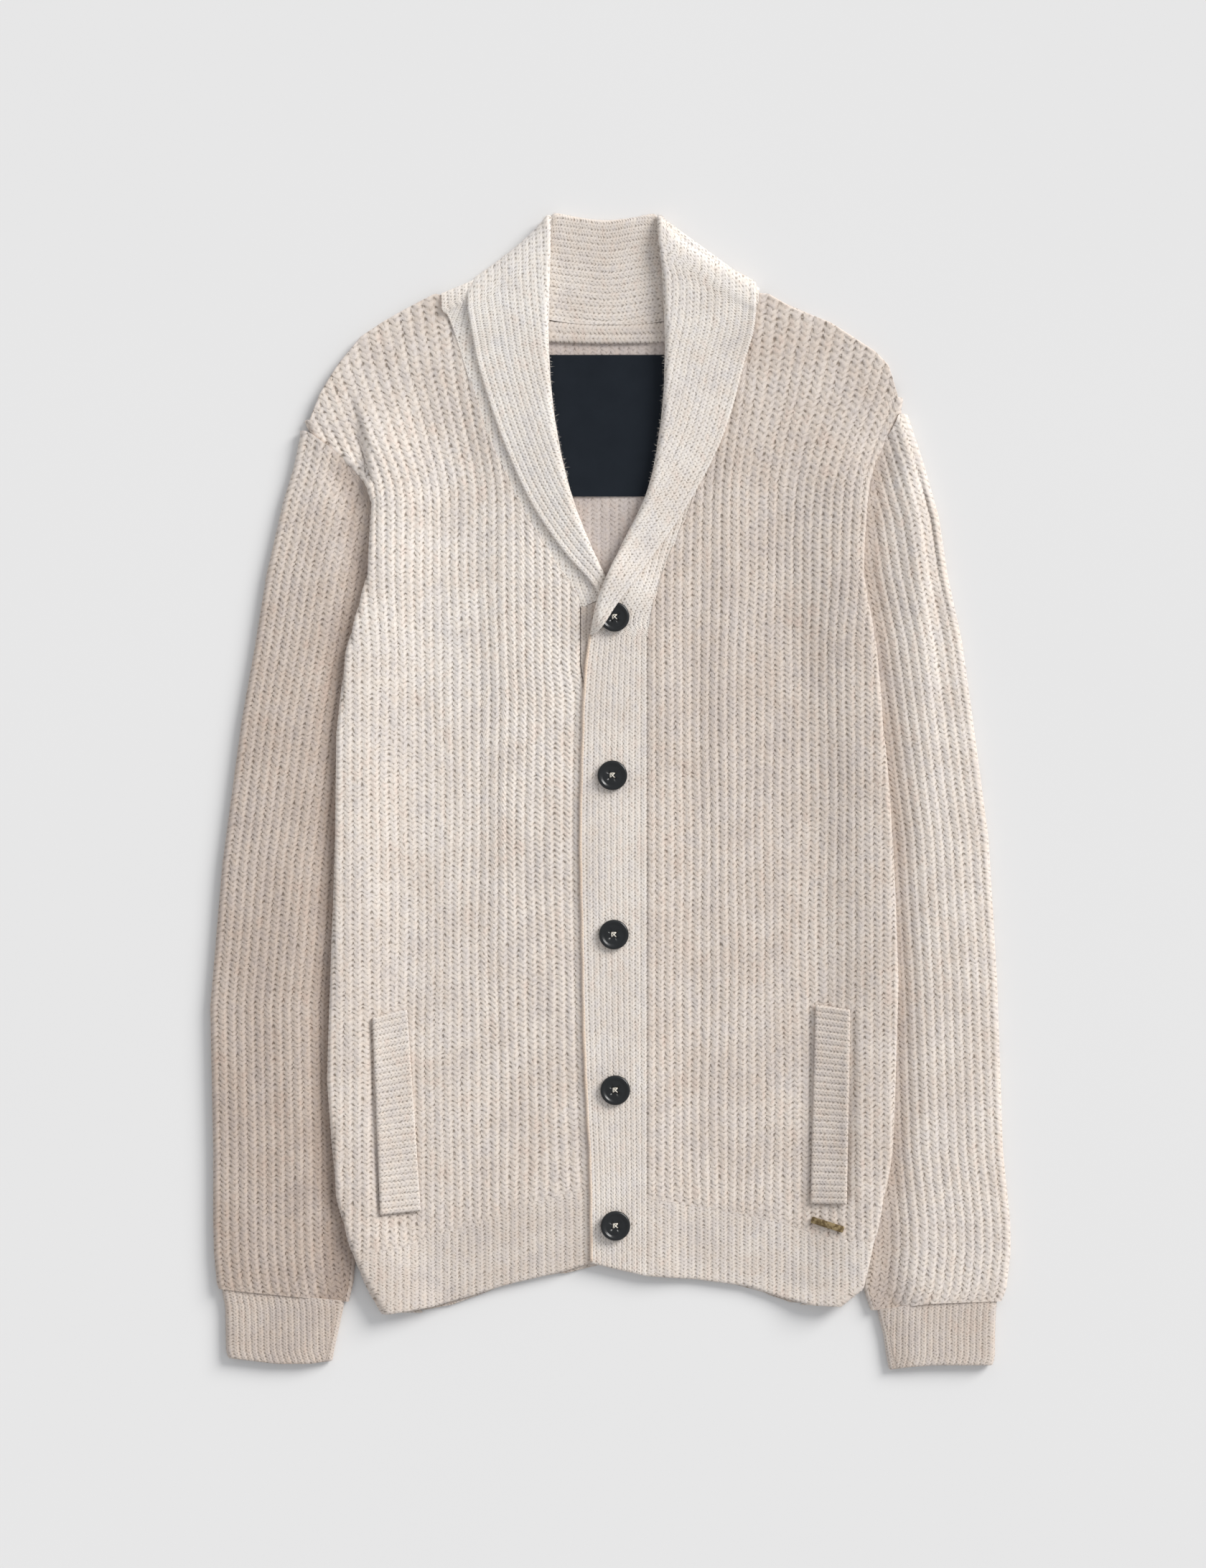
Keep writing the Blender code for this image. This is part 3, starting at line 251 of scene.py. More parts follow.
def painted_light_and_tone(tree, colour, around, fuzz):
    """The colour made lighter or darker by the mesh's tone (painted light and shade), a slow cloud and the
    fuzz's grain.

    Red is multiplied by b, green by b^1.22 and blue by b^1.36, so the wool is warmer where it is
    darker: painted warm shade.
    """
    grain = step_between(tree, fuzz, 0.25, 0.75, 0.90, 1.08)
    cloud = step_between(tree, noise(tree, around, 38.0, 1.0), 0.3, 0.7, 0.955, 1.04)
    # The mesh's tone is painted light and shade, set per point on each piece.
    tone = add_node(tree, "ShaderNodeAttribute", attribute_name="tone").outputs["Fac"]
    bright = sum_of(tree, "MULTIPLY", sum_of(tree, "MULTIPLY", tone, cloud), grain)
    green = sum_of(tree, "POWER", bright, 1.22)
    blue = sum_of(tree, "POWER", bright, 1.36)
    warm_painted_shade = add_node(tree, "ShaderNodeCombineXYZ", {0: bright, 1: green, 2: blue})
    return vector_of(tree, "MULTIPLY", colour, warm_painted_shade.outputs[0])


print("flecks in the yarn:", len(FLECKS))


# %% Knit material
def knit_material(name, light, dark, legs, eyes, furrow, line, depth):
    """Wool whose stitches are drawn from the shell's own rib and stitch counts.

    A slow noise pushes the stitches about, and a second one buries some of them under fuzz. The dark
    colour is painted shade in the gaps between stitches and in the furrows.
    """
    made, tree, shader, around = new_material(name)
    place = add_node(tree, "ShaderNodeUVMap", uv_map="stitches").outputs[0]
    drawn = painted_stitch_shade(tree, strayed(tree, place), legs, eyes, furrow, line)
    cover = step_between(tree, noise(tree, place, 1.1, roughness=0.7), 0.32, 0.68, 0.40, 1.25)
    shade = sum_of(tree, "MINIMUM", sum_of(tree, "MULTIPLY", drawn, cover), 1.0)
    yarn = mixed(tree, shade, (*light, 1.0), (*dark, 1.0))
    flecked = mixed(tree, 0.8, yarn, melange(tree, around), "MULTIPLY")
    fuzz = noise(tree, around, 1400.0, 3.0, 0.75)
    height = sum_of(tree, "MULTIPLY_ADD", shade, -1.0, sum_of(tree, "MULTIPLY", fuzz, 0.45))
    dress(tree, shader, painted_light_and_tone(tree, flecked, around, fuzz), height, 0.8, depth)
    shader.inputs["Roughness"].default_value = 0.92
    shader.inputs["Specular IOR Level"].default_value = 0.2
    shader.inputs["Sheen Weight"].default_value = 0.2
    shader.inputs["Sheen Roughness"].default_value = 0.6
    return made


# Each wool's dark colour is painted shade, laid into the gaps between stitches and the furrows.
BODY_WOOL = knit_material("oatmeal_body_knit", (0.875, 0.805, 0.745), (0.34, 0.29, 0.245),
                          legs=0.25, eyes=0.40, furrow=0.66, line=0.10, depth=0.42)
FINE_WOOL = knit_material("oatmeal_fine_rib", (0.80, 0.735, 0.68), (0.38, 0.33, 0.285),
                          legs=0.18, eyes=0.58, furrow=0.78, line=0.08, depth=0.32)
# The inside wool is a darker copy of the same wool: painted shade for the back's inside, deep in the neck.
SHADED_INSIDE_WOOL = knit_material("oatmeal_inside_painted_shade", (0.60, 0.53, 0.495), (0.32, 0.27, 0.245),
                            legs=0.22, eyes=0.35, furrow=0.45, line=0.12, depth=0.35)
# The edge roll's wool is a darker, warmer copy: painted warm shade with light glowing through the thin
# roll.
SHADED_EDGE_WOOL = knit_material("oatmeal_edge_roll_painted_shade", (0.80, 0.67, 0.56), (0.44, 0.33, 0.25),
                          legs=0.25, eyes=0.25, furrow=0.30, line=0.10, depth=0.30)
print("wool:", BODY_WOOL.name, FINE_WOOL.name, SHADED_INSIDE_WOOL.name, SHADED_EDGE_WOOL.name)

# %% [markdown]
# ## Sizes of the garment
#
# These tables are the pattern: the layers, the cut of each piece, the outline of each side and
# the seams. Layers, outlines and seams are the same as those of the solids, so every shell lies
# in its solid's place. The outlines could be curves drawn by hand, but a table of heights and
# distances can be read at any height, which is what the rows of a shell ask for.

# %% Layers and pitches
WALL = 2.2
HALF = WALL / 2
SEAM = 0.3              # gap between two pieces that are sewn together
BODY_PITCH, SLEEVE_PITCH, HEM_PITCH = 6.3, 6.4, 5.6
CUFF_PITCH, BAND_PITCH, COLLAR_PITCH = 4.25, 4.2, 4.8
BODY_RIB, STITCH_DIP = 0.9, 0.35
FINE_STITCH = 2.8       # height of a stitch of the fine ribs
BACK_Z = HALF
FRONT_Z = BACK_Z + WALL + SEAM
TOP_BAND_Z = FRONT_Z + WALL + SEAM
SIDE_LIFT, SIDE_REACH, UNDER_WIDTH = 6.6, 60.0, 28.0
SLEEVE_Z, TUCK_Z, CUFF_Z, TUCKED = 6.3, 4.1, 5.7, 15.0
RIGHT_CENTRE, LEFT_CENTRE = 21.0, 25.6
BAND_LAP, LAP_SPREAD = 1.7, 90.0    # the right front under the band's edge, and how far it gives way
print("layers at", BACK_Z, FRONT_Z, TOP_BAND_Z, "mm")

# %% Cut sizes
# Width and length of the cloth that shows, before it was sewn; a tube's width is all round.
Cut = namedtuple("Cut", "width length")
FRONT_CUT, FRONT_HEM_CUT = Cut(218.0, 640.0), Cut(212.0, 46.0)
SLEEVE_CUT, CUFF_CUT = Cut(188.0, 600.0), Cut(162.0, 43.0)
BACK_CUT, BACK_HEM_CUT = Cut(404.0, 640.0), Cut(304.0, 56.0)
BAND_CUT, UNDER_BAND_CUT = Cut(46.0, 436.0), Cut(45.0, 460.0)
COLLAR_CUT, TAPE_CUT, WELT_CUT = Cut(125.0, 760.0), Cut(96.0, 14.0), Cut(27.0, 140.0)
print("a front is cut", FRONT_CUT.width, "by", FRONT_CUT.length, "mm")

# %% Outlines
Side = namedtuple("Side", "y edge spread under tuck")
RIGHT_SIDE = tuple(Side(*row) for row in (
    (-364.0, 158.0, 1.00, 1.6, 28.0), (-345.0, 169.0, 1.00, 2.5, 28.0), (-319.0, 179.5, 1.00, 6.7, 28.0),
    (-280.5, 190.0, 1.00, 6.7, 28.0), (-200.0, 196.0, 1.00, 6.7, 28.0), (-80.0, 192.0, 1.00, 6.7, 28.0),
    (40.0, 189.5, 1.00, 6.7, 28.0), (95.0, 183.5, 1.00, 6.7, 28.0), (150.0, 168.5, 1.02, 6.7, 28.0),
    (200.0, 165.0, 1.02, 6.7, 26.0), (212.0, 169.0, 1.03, 6.7, 30.0), (225.0, 180.0, 1.06, 3.5, 41.0),
    (238.0, 196.0, 1.10, 1.8, 57.0), (248.0, 208.0, 1.13, 1.25, 69.0), (262.0, 214.0, 1.17, 1.2, 75.0),
    (290.0, 216.0, 1.25, 1.2, 77.0), (346.0, 216.0, 1.35, 1.2, 77.0)))
LEFT_SIDE = tuple(Side(*row) for row in (
    (-358.0, 160.0, 1.00, 4.0, 28.0), (-345.0, 176.0, 1.00, 5.5, 28.0), (-320.0, 181.5, 1.00, 6.7, 28.0),
    (-301.0, 186.0, 1.00, 6.7, 28.0), (-250.0, 196.0, 1.00, 6.7, 28.0), (-133.0, 199.5, 1.00, 6.7, 28.0),
    (-33.0, 196.0, 1.00, 6.7, 28.0), (50.0, 189.0, 1.00, 6.7, 28.0), (104.0, 184.0, 1.00, 6.7, 28.0),
    (150.0, 175.5, 1.02, 6.7, 28.0), (173.0, 176.0, 1.02, 6.7, 28.0), (200.0, 178.0, 1.03, 6.7, 30.0),
    (214.0, 179.5, 1.04, 6.7, 31.5), (229.5, 184.0, 1.07, 5.5, 36.0), (246.0, 193.0, 1.11, 3.5, 45.0),
    (262.5, 202.0, 1.16, 1.2, 54.0), (276.0, 203.5, 1.20, 1.2, 55.5), (346.0, 204.0, 1.35, 1.2, 56.0)))

Edge = namedtuple("Edge", "x y")


def edges(*pairs):
    """A seam as a table of points."""
    return tuple(Edge(*pair) for pair in pairs)


RIGHT_TOP = edges(
    (21.0, 124.5), (26.5, 138.0), (43.0, 161.0), (62.5, 193.5), (83.8, 238.5), (102.9, 295.5),
    (111.2, 324.5), (117.5, 344.0), (122.5, 346.0), (141.0, 336.0), (158.5, 326.0), (173.5, 316.0),
    (189.0, 296.0), (202.0, 276.0), (210.0, 256.0), (214.5, 246.0))
LEFT_TOP = edges(
    (25.6, 99.5), (29.6, 112.5), (30.8, 119.8), (33.0, 131.8), (41.0, 157.0), (55.4, 191.5),
    (73.0, 241.0), (91.4, 298.0), (98.0, 326.0), (104.0, 346.5), (110.5, 346.0), (127.0, 336.0),
    (152.5, 326.0), (168.5, 316.0), (183.5, 306.0), (193.5, 296.0), (198.5, 280.0), (203.0, 262.5))
RIGHT_HEM_TOP = edges(
    (15.0, -273.0), (57.5, -285.5), (89.5, -298.5), (121.5, -308.5), (143.0, -316.0),
    (180.0, -321.0), (200.0, -322.0))
RIGHT_HEM_END = edges(
    (14.0, -325.0), (38.5, -334.0), (76.5, -344.0), (95.5, -350.5), (124.0, -358.5),
    (159.5, -364.0), (180.0, -364.0))
LEFT_HEM_TOP = edges(
    (25.0, -282.0), (67.5, -289.5), (94.0, -294.0), (120.5, -300.0), (138.0, -305.5),
    (163.0, -311.5), (200.0, -312.0))
LEFT_HEM_END = edges(
    (25.0, -337.0), (60.5, -339.5), (97.0, -344.5), (119.0, -352.0), (141.0, -357.0),
    (163.0, -358.0), (180.0, -358.0))
BAND_LEFT_EDGE = edges((-13.2, -328.0), (-14.3, -268.0), (-16.8, -213.0), (-20.0, -104.0),
                       (-20.5, 5.0), (-16.5, 91.0), (-14.3, 108.0))
print("widest:", max(row.edge for row in RIGHT_SIDE[:9]), "and", max(row.edge for row in LEFT_SIDE[:9]))


# %% [markdown]
# ## From a surface to a knitted shell
#
# A shell starts as a middle surface: a grid of points, rows along the piece and columns
# across it. The outer skin lies half a wall out along the surface's normals, plus the relief
# of ribs and stitches. The inner skin is plain, with fewer columns. Strips of triangles close
# the ends, so that every piece is one solid wall. A Solidify modifier would also give a wall,
# but it would copy every stitch onto the hidden side.

# %% Reading tables
def read_table(table, column, at, place="y"):
    """Read one column of a table along another by straight lines."""
    return np.interp(at, [getattr(row, place) for row in table], [getattr(row, column) for row in table])


def seam_height(table, x):
    """Height of a seam at distances x from the middle of the garment."""
    return read_table(table, "y", x, "x")


def ease(value):
    """0 to 1 with level ends: 3 t^2 - 2 t^3."""
    value = np.clip(value, 0.0, 1.0)
    return value * value * (3 - 2 * value)


def follow(places, values, at):
    """Read a smooth line: a cubic between two places that keeps the slope at both."""
    places = np.asarray(places, float)
    values = np.asarray(values, float)
    at = np.clip(np.asarray(at, float), places[0], places[-1])
    slopes = np.gradient(values, places, axis=0)
    step = np.clip(np.searchsorted(places, at, side="right") - 1, 0, len(places) - 2)
    width = places[step + 1] - places[step]
    t = (at - places[step]) / width
    shape = (-1,) + (1,) * (values.ndim - 1)
    t, width = t.reshape(shape), width.reshape(shape)
    rise = values[step + 1] - values[step]
    start, end = slopes[step] * width, slopes[step + 1] * width
    return values[step] + t * start + t * t * (3 * rise - 2 * start - end) \
        + t * t * t * (start + end - 2 * rise)


def band_edge(y):
    """x of the upper band's free edge at heights y."""
    heights, spots = zip(*((row.y, row.x) for row in BAND_LEFT_EDGE))
    return follow(heights, spots, y.ravel()).reshape(y.shape)


def below_the_throat(y):
    """1 where the right front reaches in under the upper band, 0 from the top button up."""
    return 1 - ease((y - 60.0) / 30)


def band_lap(y):
    """How far in past its own seam line the right front reaches, to lie under the upper band."""
    return np.maximum(RIGHT_CENTRE + band_edge(y) + BAND_LAP, 0.0) * below_the_throat(y)


print("band's edge at the middle button:", round(float(band_edge(np.array([-99.5]))[0]), 1))


# %% Relief of ribs and stitches
CHANCES = 400           # different starts that the stitches of a rib may have


def rib_relief(u, v, rib, stitch):
    """Height of the outer skin above the wall.

    With d the distance from the rib's middle (0 to 1 at the furrow): the rib is
    rib * (1 - d^2.2); between two legs of the V-shaped stitches the skin dips by stitch.
    """
    d = np.abs(u % 1.0 - 0.5) * 2
    gap = (0.5 - 0.5 * np.cos(2 * math.pi * (v - LEG_RISE * d))) ** 1.6
    return rib * (1 - d ** 2.2) - stitch * gap * (0.45 + 0.55 * np.abs(1 - 2 * d))


def soft_rib(u, rib):
    """Height of a fine rib: rib * (1 - d^3), round on top with a narrow furrow."""
    return rib * (1 - (np.abs(u % 1.0 - 0.5) * 2) ** 3)


def stitches_up(y):
    """Stitches counted up the garment: they grow from 3.7 mm at the hem to 4.9 at the shoulder."""
    heights = np.arange(-420.0, 421.0, 10.0)
    size = np.interp(heights, (-300, 100, 200, 330), (3.65, 3.75, 4.1, 4.9))
    counts = np.concatenate(((0.0,), np.cumsum(10.0 / size[:-1])))
    return np.interp(y, heights, counts)


def ripple(x, y):
    """Slow rise and fall of laid cloth, 0 to about 1 mm: four crossing waves."""
    waves = ((0.021, 0.013, 0.4), (-0.034, 0.018, 1.7), (0.012, -0.041, 2.9), (0.055, 0.009, 4.2))
    total = sum(np.sin(kx * x + ky * y + start) for kx, ky, start in waves)
    return 0.5 + 0.13 * total


def rib_offsets(u, seed):
    """The chance start of each rib's stitches, by the rib's number."""
    return np.random.default_rng(seed).random(CHANCES)[np.floor(u).astype(int) % CHANCES]


def painted_light_along(y, low, middle, high):
    """Painted light and shade by height: low at the hem, middle at the chest, high at the shoulder."""
    return np.interp(y, (-330.0, -60.0, 130.0, 340.0), (low, (low + middle) / 2, middle, high))


print("stitches up a front:", int(stitches_up(340.0) - stitches_up(-320.0)))


# %% Free edges
def rounded(distance, reach=1.3, least=0.25):
    """Share of a wall's thickness near a free edge: a quarter circle, sqrt(1 - (1 - d)^2)."""
    d = np.clip(distance / reach, 0, 1)
    return np.maximum(np.sqrt(1 - (1 - d) ** 2), least)


def row_shares(rows, length, first=True, last=True):
    """Even rows from 0 to 1, with a few more close to the ends that are rounded."""
    close = np.array((0.15, 0.4, 0.75)) / length
    shares = [np.linspace(0, 1, rows)]
    if first:
        shares.append(close)
    if last:
        shares.append(1 - close)
    return np.unique(np.concatenate(shares))


print("thickness 0.5 mm from a free edge:", round(float(rounded(0.5)), 2))


# %% Grids and meshes
FUZZY = []      # skins that carry fuzz: their points and normals


def cells(grid):
    """The four corners of every cell of a grid, in the order of a face."""
    return np.stack((grid[:-1, :-1], grid[:-1, 1:], grid[1:, 1:], grid[1:, :-1]), axis=2)


def wrapped(grid):
    """A grid with its first column repeated at its end."""
    return np.concatenate((grid, grid[:, :1]), axis=1)


def normals_of(middle, wrap):
    """Unit normals: the cross product of the steps across and along the grid."""
    along = np.gradient(middle, axis=0)
    if wrap:
        across = (np.roll(middle, -1, axis=1) - np.roll(middle, 1, axis=1)) / 2
    else:
        across = np.gradient(middle, axis=1)
    normals = np.cross(across, along)
    return normals / np.maximum(np.linalg.norm(normals, axis=2, keepdims=True), 1e-9)


def set_painted_light(mesh, tone):
    """Keep how much lighter or darker the wool is painted, per point, as painted light and shade; 1 is its
    own colour.
    """
    layer = mesh.attributes.new("tone", "FLOAT", "POINT")
    values = np.broadcast_to(np.asarray(tone, np.float32), (len(mesh.vertices),))
    layer.data.foreach_set("value", np.ascontiguousarray(values))


def build_mesh(name, points, quads, triangles, uvs, tone, material):
    """Put points and faces into a mesh, turn its faces outwards, and make it an object."""
    mesh = bpy.data.meshes.new(name)
    mesh.from_pydata((points * MM).tolist(), [], quads.tolist() + triangles.tolist())
    layer = mesh.uv_layers.new(name="stitches")
    layer.data.foreach_set("uv", uvs.astype(np.float32).ravel())
    set_painted_light(mesh, tone)
    bm = bmesh.new()
    bm.from_mesh(mesh)
    bmesh.ops.remove_doubles(bm, verts=bm.verts, dist=1e-7)
    bmesh.ops.recalc_face_normals(bm, faces=bm.faces)
    if bm.calc_volume(signed=True) < 0:
        bmesh.ops.reverse_faces(bm, faces=bm.faces)
    bm.to_mesh(mesh)
    bm.free()
    mesh.shade_smooth()
    mesh.set_sharp_from_angle(angle=math.radians(72))
    mesh.materials.append(material)
    return add_object(name, mesh)


print("a grid of 3 x 3 points has", cells(np.arange(9).reshape(3, 3)).reshape(-1, 4).shape[0], "cells")


# %% Closing a wall
CLOSING_STITCH = 5.0        # the narrow faces that close a wall count a stitch every so many mm


def end_triangles(numbers, lining, kept):
    """Triangles that close the first and last row, between the skin and its coarser lining."""
    halfway = (kept[:-1] + kept[1:]) // 2
    start = np.arange(kept[-1])
    nearest = np.searchsorted(halfway, start, side="right")
    found = []
    for row in (0, -1):
        rim, hem = numbers[row], lining[row]
        found.append(np.stack((rim[start], rim[start + 1], hem[nearest]), axis=1))
        found.append(np.stack((rim[halfway], hem[1:], hem[:-1]), axis=1))
    return np.concatenate(found)


def stitch_uvs(u, v, kept, seed):
    """Rib and stitch counts at the corners of the skin's cells and then of the lining's."""
    u_cells, v_cells = cells(u), cells(v)
    v_cells = v_cells + rib_offsets(u_cells.mean(axis=2), seed)[:, :, None]
    skin = np.stack((u_cells, v_cells), axis=3).reshape(-1, 2)
    lined = np.stack((cells(u[:, kept])[:, :, ::-1], cells(v[:, kept])[:, :, ::-1]), axis=3).reshape(-1, 2)
    return np.concatenate((skin, lined))


print("a closing stitch:", CLOSING_STITCH, "mm")


# %% Shell
def shell(name, middle, relief, u, v, keep, material, wall=WALL, wrap=False, flip=1.0,
          floor=True, seed=0, taper=1.0, under=0.0, tone=1.0):
    """Close a wall round a middle surface.

    outer skin = middle + normal * (wall / 2 + relief) * taper; inner skin = middle - normal *
    (wall / 2 + under) * taper, on the kept columns. u and v count ribs and stitches, with one
    more column where it wraps.
    """
    rows, columns = middle.shape[:2]
    normals = normals_of(middle, wrap) * flip
    if floor:
        normals[[0, -1], :, 1] = 0.0
        normals /= np.maximum(np.linalg.norm(normals, axis=2, keepdims=True), 1e-9)
    size = (rows, columns)
    taper = np.broadcast_to(taper, size)
    outer = middle + normals * ((wall / 2 + relief) * taper)[:, :, None]
    inner = (middle - normals * ((wall / 2 + np.broadcast_to(under, size)) * taper)[:, :, None])[:, keep]
    if floor:
        outer[:, :, 2] = np.maximum(outer[:, :, 2], 0.0)
        inner[:, :, 2] = np.maximum(inner[:, :, 2], 0.0)
    if material is not SHADED_INSIDE_WOOL and wall > 1.0:
        FUZZY.append((outer, normals))
    points = np.concatenate((outer.reshape(-1, 3), inner.reshape(-1, 3)))
    tones = np.broadcast_to(tone, size)
    tones = np.concatenate((tones.ravel(), tones[:, keep].ravel()))
    numbers = np.arange(rows * columns).reshape(rows, columns)
    lining = rows * columns + np.arange(rows * len(keep)).reshape(rows, len(keep))
    kept = np.array(keep)
    if wrap:
        numbers, lining = wrapped(numbers), wrapped(lining)
        kept = np.append(kept, columns)
    side_quads = np.empty((0, 4), int)
    if not wrap:
        side_quads = np.concatenate([
            np.stack((numbers[:-1, q], numbers[1:, q], lining[1:, q], lining[:-1, q]), axis=1)
            for q in (0, -1)])
    quads = np.concatenate((cells(numbers).reshape(-1, 4), cells(lining)[:, :, ::-1].reshape(-1, 4),
                            side_quads))
    triangles = end_triangles(numbers, lining, kept)
    rest = np.concatenate((side_quads.ravel(), triangles.ravel()))
    counts = [np.broadcast_to(count, numbers.shape) for count in (u, v)]
    uvs = np.concatenate((stitch_uvs(*counts, kept, seed), points[rest, :2] / CLOSING_STITCH))
    return build_mesh(name, points, quads, triangles, uvs, tones, material)


# %% What a shell stands for
def area_of(piece):
    """Area of a mesh in square metres."""
    return sum(face.area for face in piece.data.polygons)


def finish_cloth(piece, node, cut):
    """Hang a shell on the root, hide the solid it stands for, and print its faces and its areas of cloth
    shown and cut.
    """
    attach(piece, "root")
    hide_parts(node)
    print("%s: %d faces, %.4f m2 of cloth shown, %.4f m2 cut"
          % (piece.name, len(piece.data.polygons), area_of(piece) / 2, cut.width * cut.length * MM * MM))


# %% [markdown]
# ## Fronts and hems
#
# A front is one grid: its columns start at the band, keep the knit's own width and draw closer
# towards the side. There they roll over and end at the side seam, under the garment. The ribs
# keep their width all the way, so the roll and the armhole cut some of them off, as on the real
# garment. The rows end at the seams above and below, found by bisection. A cloth simulation
# could lay the piece down, but a grid keeps each rib and each seam exactly where it belongs.

# %% Pocket mouths
Welt = namedtuple("Welt", "outer_top inner_top outer_foot inner_foot")
WELT_RIGHT = Welt((-165.0, -157.0), (-141.0, -151.0), (-159.5, -294.0), (-131.5, -291.5))
WELT_LEFT = Welt((166.5, -151.5), (142.5, -148.0), (164.0, -286.5), (139.0, -286.5))


def pocket_relief(x, y):
    """The cloth dips along the open outer edge of a pocket mouth and swells beyond it.

    With d the distance outside the mouth's edge: -1.1 exp(-(d - 1.5)^2 / 3) for the dip and
    0.9 exp(-(d - 9)^2 / 40) for the swell, both fading out past the mouth's ends.
    """
    total = 0.0
    for mouth in (WELT_RIGHT, WELT_LEFT):
        (foot_x, foot_y), (top_x, top_y) = mouth.outer_foot, mouth.outer_top
        line = np.interp(y, (foot_y, top_y), (foot_x, top_x))
        d = (x - line) * np.sign(top_x)
        inside = ease((y - foot_y + 4) / 12) * ease((top_y + 4 - y) / 12)
        total = total + inside * (0.9 * np.exp(-(d - 9) ** 2 / 40) - 1.1 * np.exp(-(d - 1.5) ** 2 / 3))
    return total


print("pocket mouths:", round(math.dist(WELT_RIGHT.outer_top, WELT_RIGHT.outer_foot)), "and",
      round(math.dist(WELT_LEFT.outer_top, WELT_LEFT.outer_foot)), "mm long")


# %% Front surfaces
CREASE_Y = (195.0, 213.0, 234.0, 247.0, 267.0, 283.0)
CREASE_X = (164.7, 164.2, 164.9, 167.4, 171.4, 175.4)


def side_crest(y):
    """Height of the middle of the wall along the side."""
    return FRONT_Z + SIDE_LIFT * (1 - 0.75 * ease((y - 212) / 40))


def half_wave(distance):
    """Half a cosine: 1 up to 4 mm, 0 from the side's reach on."""
    return 0.5 * (1 + np.cos(math.pi * np.clip((distance - 4) / (SIDE_REACH - 4), 0, 1)))


def front_height(side, centre, x, y):
    """Height of a front's middle: level, raised by half a cosine towards the side.

    Above the right armhole's lower end the swell goes on along a crease and dies out: half a
    cosine on the body's side of it, a steep drop and a shallow trough on the sleeve's side.
    """
    near = read_table(side, "edge", y) - x
    rise = (side_crest(y) - FRONT_Z) * half_wave(near)
    if centre == RIGHT_CENTRE:
        past = x - np.interp(y, CREASE_Y, CREASE_X)
        strength = ease((y - 206) / 12) * (1 - ease((y - 222) / 66))
        swell = SIDE_LIFT * np.where(past > 0, np.exp(-(past / 5.0) ** 2), half_wave(4 - past))
        rise = rise + strength * (np.maximum(rise * 0.5, swell) - rise)
        rise = rise - 1.1 * strength * np.exp(-((past - 7) / 4.5) ** 2) * ease(near / 8)
    if centre == LEFT_CENTRE:
        band = (TOP_BAND_Z - FRONT_Z) * (1 - ease((y - 120) / 90))
        rise = rise + band * (1 - ease((x - centre) / 34.0))
    settle = ease((x - centre) / 20) * ease((near - 2) / 30)
    way = 1 if centre == LEFT_CENTRE else -1
    return FRONT_Z + rise + ripple(way * x, y) * settle + pocket_relief(way * x, y)


def rib_places(side, centre, width, share, y):
    """Distances of the columns from the garment's middle, and the reach of the side's roll."""
    slope = (read_table(side, "edge", y + 8) - read_table(side, "edge", y - 8)) / 16
    slant = np.sqrt(1 + slope ** 2)
    turn = (side_crest(y) - read_table(side, "under", y)) / 2
    room = read_table(side, "edge", y) - (HALF + turn) * slant - centre
    free = np.clip(width * read_table(side, "spread", y) / room, 0.8, 1.2)
    return centre + room * (free * share + (1 - free) * share ** 4), turn * slant


print("a front's top at its side:", round(float(side_crest(0.0)), 1), "mm up")


# %% A front's side
SIDE_ANGLES = np.radians(np.arange(15, 181, 15))                    # round the side's roll
SIDE_REACH_UNDER = np.array((9.0, 14.0, 20.0, 26.0, UNDER_WIDTH))   # from there in to the seam


def column_ends(side, centre, width, share, flat, table):
    """Height at which each column meets a seam, by bisection; the roll's columns take the last."""
    lowest, highest = np.full(len(share), -380.0), np.full(len(share), 360.0)
    for _ in range(24):
        guess = (lowest + highest) / 2
        below = seam_height(table, rib_places(side, centre, width, share, guess)[0]) > guess
        lowest = np.where(below, guess, lowest)
        highest = np.where(below, highest, guess)
    guess[flat:] = guess[flat - 1]
    return guess


def roll_side(side, x, y, z, turn, flat):
    """Bend the last columns round the side and lead them in, under the garment, to the seam."""
    under = read_table(side, "under", y)
    bend = slice(flat, flat + len(SIDE_ANGLES))
    tail = slice(bend.stop, x.shape[1])
    crest = z[:, flat - 1:flat]
    z[:, bend] = (crest + under[:, bend]) / 2 + (crest - under[:, bend]) / 2 * np.cos(SIDE_ANGLES)
    x[:, bend] += turn[:, bend] * np.sin(SIDE_ANGLES)
    x[:, tail] = read_table(side, "edge", y[:, tail]) \
        - SIDE_REACH_UNDER * read_table(side, "tuck", y[:, tail]) / UNDER_WIDTH
    z[:, tail] = under[:, tail] + (BACK_Z - under[:, tail]) * ease((SIDE_REACH_UNDER - 12) / 12)
    shown = np.ones(x.shape[1])
    shown[bend] = ease((math.radians(150) - SIDE_ANGLES) / math.radians(60))
    shown[tail] = 0.0
    return shown


print("columns round a front's side:", len(SIDE_ANGLES) + len(SIDE_REACH_UNDER))


